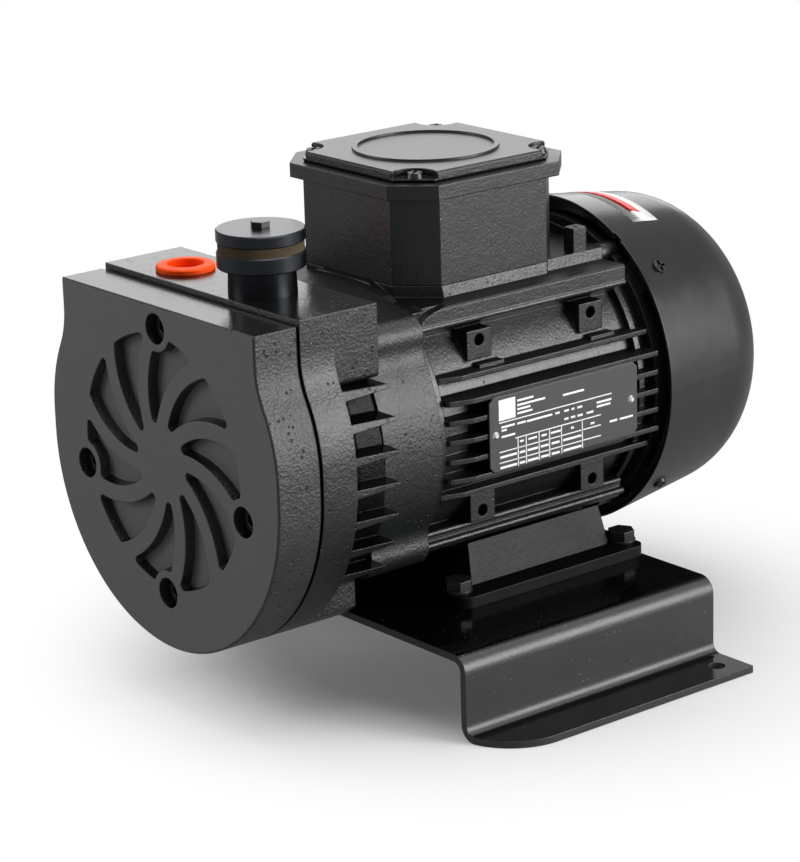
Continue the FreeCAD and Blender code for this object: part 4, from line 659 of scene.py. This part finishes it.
class PUMP_OT_inner_works(bpy.types.Operator):
    """Finishes the pieces inside: stator, rotor, bearings, vanes, fan, seals and terminal board"""
    bl_idname = "pump.inner_works"
    bl_label = "Inner works"

    def execute(self, context):
        for name, colour, rough, along, nodes in INNER_METALS:
            dress(bare_metal(name, colour, rough, along), *nodes)
        for name, colour, rough, shine, nodes in INNER_MOULDINGS:
            dress(moulded(name, colour, rough, shine), *nodes)
        return {"FINISHED"}


# Stage

# Power's name in the settings, place, aim and width of each soft box, in metres
LAMPS = (
    ("top_light", (0.0, 0.2, 1.5), (0.0, 0.0, 0.0), 1.4),
    ("back_light", (-1.35, 1.08, 0.78), (0.0, 0.0, 0.15), 1.2),
    ("side_light", (1.25, 0.75, 0.5), (0.0, 0.0, 0.1), 0.8),
    ("left_light", (-0.9, -1.3, 0.6), (0.0, 0.0, 0.12), 0.8),
)

WHITE = (1.0, 1.0, 1.0, 1.0)
ROOM_LIGHT = 0.12
ROOM_MIRRORED = 0.34

# The floor's own grey to the camera and to other rays, and its white: its strength beside the pump and far
# out, the distances from its middle over which it grows, and its strength in reflections
FLOOR_SEEN = (0.62, 0.62, 0.62)
FLOOR_HIDDEN = (0.32, 0.32, 0.32)
FLOOR_WHITE = (0.1, 1.0)
FLOOR_MIDDLE = (0.02, -0.03)
FLOOR_FADE = (0.09, 0.21)
FLOOR_MIRRORED = 0.12

# The photograph's camera: place in metres, angles, and lens and sensor in mm
CAMERA_AT = (0.99138, -0.86171, 0.47932)
CAMERA_TURN = math.radians(51.2746)
CAMERA_RISE = math.radians(16.9648)
CAMERA_ROLL = math.radians(-1.6792)
CAMERA_LENS = 133.417
CAMERA_SENSOR = 36.0
CAMERA_REACH = 30.0


def floor_material():
    """Pale floor: white far out to the camera, the shadow kept near the pump, and grey in reflections."""
    finish = Finish("pale floor")
    seen = finish.ray("Is Camera Ray")
    mirrored = finish.ray("Is Glossy Ray").most(finish.ray("Is Transmission Ray"))
    finish.set(Base_Color=finish.blend(seen, shade(FLOOR_HIDDEN), shade(FLOOR_SEEN)), Roughness=0.9,
               Specular_IOR_Level=0.1)
    x, y = finish.place("X"), finish.place("Y")
    away = ((x - FLOOR_MIDDLE[0]) ** 2.0 + (y - FLOOR_MIDDLE[1]) ** 2.0) ** 0.5
    white = away.ease(*FLOOR_FADE).between(*FLOOR_WHITE)
    glow = finish.node("ShaderNodeEmission", {}, {"Color": WHITE, "Strength": 1.0})
    finish.mixed((seen * white).most(mirrored * FLOOR_MIRRORED), glow)
    return finish.material


def soft_light(name, place, aim, width, power):
    """Adds a square soft box that the camera doesn't see."""
    data = bpy.data.lights.new(name, "AREA")
    data.shape = "SQUARE"
    data.size = width
    data.energy = power
    lamp = bpy.data.objects.new(name, data)
    lamp.visible_camera = False
    way = Vector(aim) - Vector(place)
    lamp.matrix_world = Matrix.Translation(place) @ way.to_track_quat("-Z", "Y").to_matrix().to_4x4()
    bpy.context.scene.collection.objects.link(lamp)


def studio_world(scene):
    """Dim room light that shows white to the camera and brighter in glossy pieces."""
    world = bpy.data.worlds.new("studio")
    room = Wiring(world)
    mirrored = room.ray("Is Glossy Ray").most(room.ray("Is Transmission Ray"))
    factor = room.ray("Is Camera Ray").most(mirrored * ROOM_MIRRORED)
    dim, white = (room.node("ShaderNodeBackground", {}, {"Color": WHITE, "Strength": strength})
                  for strength in (ROOM_LIGHT, 1.0))
    output = room.tree.nodes.new("ShaderNodeOutputWorld")
    room.feed(output.inputs["Surface"], room.either(factor, dim, white))
    scene.world = world


def photo_camera(scene):
    """Camera at the photograph's place, turn, rise, roll and lens."""
    turn, rise, roll = CAMERA_TURN, CAMERA_RISE, CAMERA_ROLL
    back = Vector((math.sin(turn) * math.cos(rise), -math.cos(turn) * math.cos(rise), math.sin(rise)))
    right = Vector((math.cos(turn), math.sin(turn), 0.0))
    up = back.cross(right)
    right_rolled = right * math.cos(roll) + up * math.sin(roll)
    up_rolled = up * math.cos(roll) - right * math.sin(roll)
    data = bpy.data.cameras.new("photo camera")
    data.sensor_width = CAMERA_SENSOR
    data.lens = CAMERA_LENS
    data.clip_end = CAMERA_REACH
    camera = bpy.data.objects.new("photo camera", data)
    axes = Matrix((right_rolled, up_rolled, back)).transposed()
    camera.matrix_world = Matrix.Translation(CAMERA_AT) @ axes.to_4x4()
    scene.collection.objects.link(camera)
    scene.camera = camera


class PUMP_OT_stage(bpy.types.Operator):
    """Builds the floor, the soft lights, the world and the camera"""
    bl_idname = "pump.stage"
    bl_label = "Stage"

    def execute(self, context):
        settings = context.scene.pump_stage
        bed = bmesh.new()
        bmesh.ops.create_grid(bed, x_segments=1, y_segments=1, size=settings.width / 2)
        floor = finished_piece(bed, "floor", floor_material(), smooth=False)
        for setting, place, aim, width in LAMPS:
            soft_light(setting.replace("_", " "), place, aim, width, getattr(settings, setting))
        studio_world(context.scene)
        photo_camera(context.scene)
        context.scene.view_settings.view_transform = "Standard"
        return {"FINISHED"}


class PUMP_PT_panel(bpy.types.Panel):
    """Lists the pump's colours, stage and build steps"""
    bl_idname = "PUMP_PT_panel"
    bl_label = "Vacuum pump"
    bl_space_type = "VIEW_3D"
    bl_region_type = "UI"
    bl_category = "Pump"

    def draw(self, context):
        layout = self.layout
        for group in (context.scene.pump_colours, context.scene.pump_stage):
            for name in group.__annotations__:
                layout.prop(group, name)
        for step in STEPS:
            layout.operator(step.bl_idname)


STEPS = (PUMP_OT_castings, PUMP_OT_cover, PUMP_OT_bracket, PUMP_OT_cowl, PUMP_OT_fasteners, PUMP_OT_silencer,
         PUMP_OT_plug, PUMP_OT_nameplate, PUMP_OT_inner_works, PUMP_OT_stage)
CLASSES = (PumpColours, StageSettings) + STEPS + (PUMP_PT_panel,)


def register():
    for item in CLASSES:
        bpy.utils.register_class(item)
    bpy.types.Scene.pump_colours = PointerProperty(type=PumpColours)
    bpy.types.Scene.pump_stage = PointerProperty(type=StageSettings)


def unregister():
    del bpy.types.Scene.pump_stage
    del bpy.types.Scene.pump_colours
    for item in reversed(CLASSES):
        bpy.utils.unregister_class(item)


def main():
    register()
    for step in STEPS:
        area, name = step.bl_idname.split(".")
        getattr(getattr(bpy.ops, area), name)()


if __name__ == "__main__":
    main()
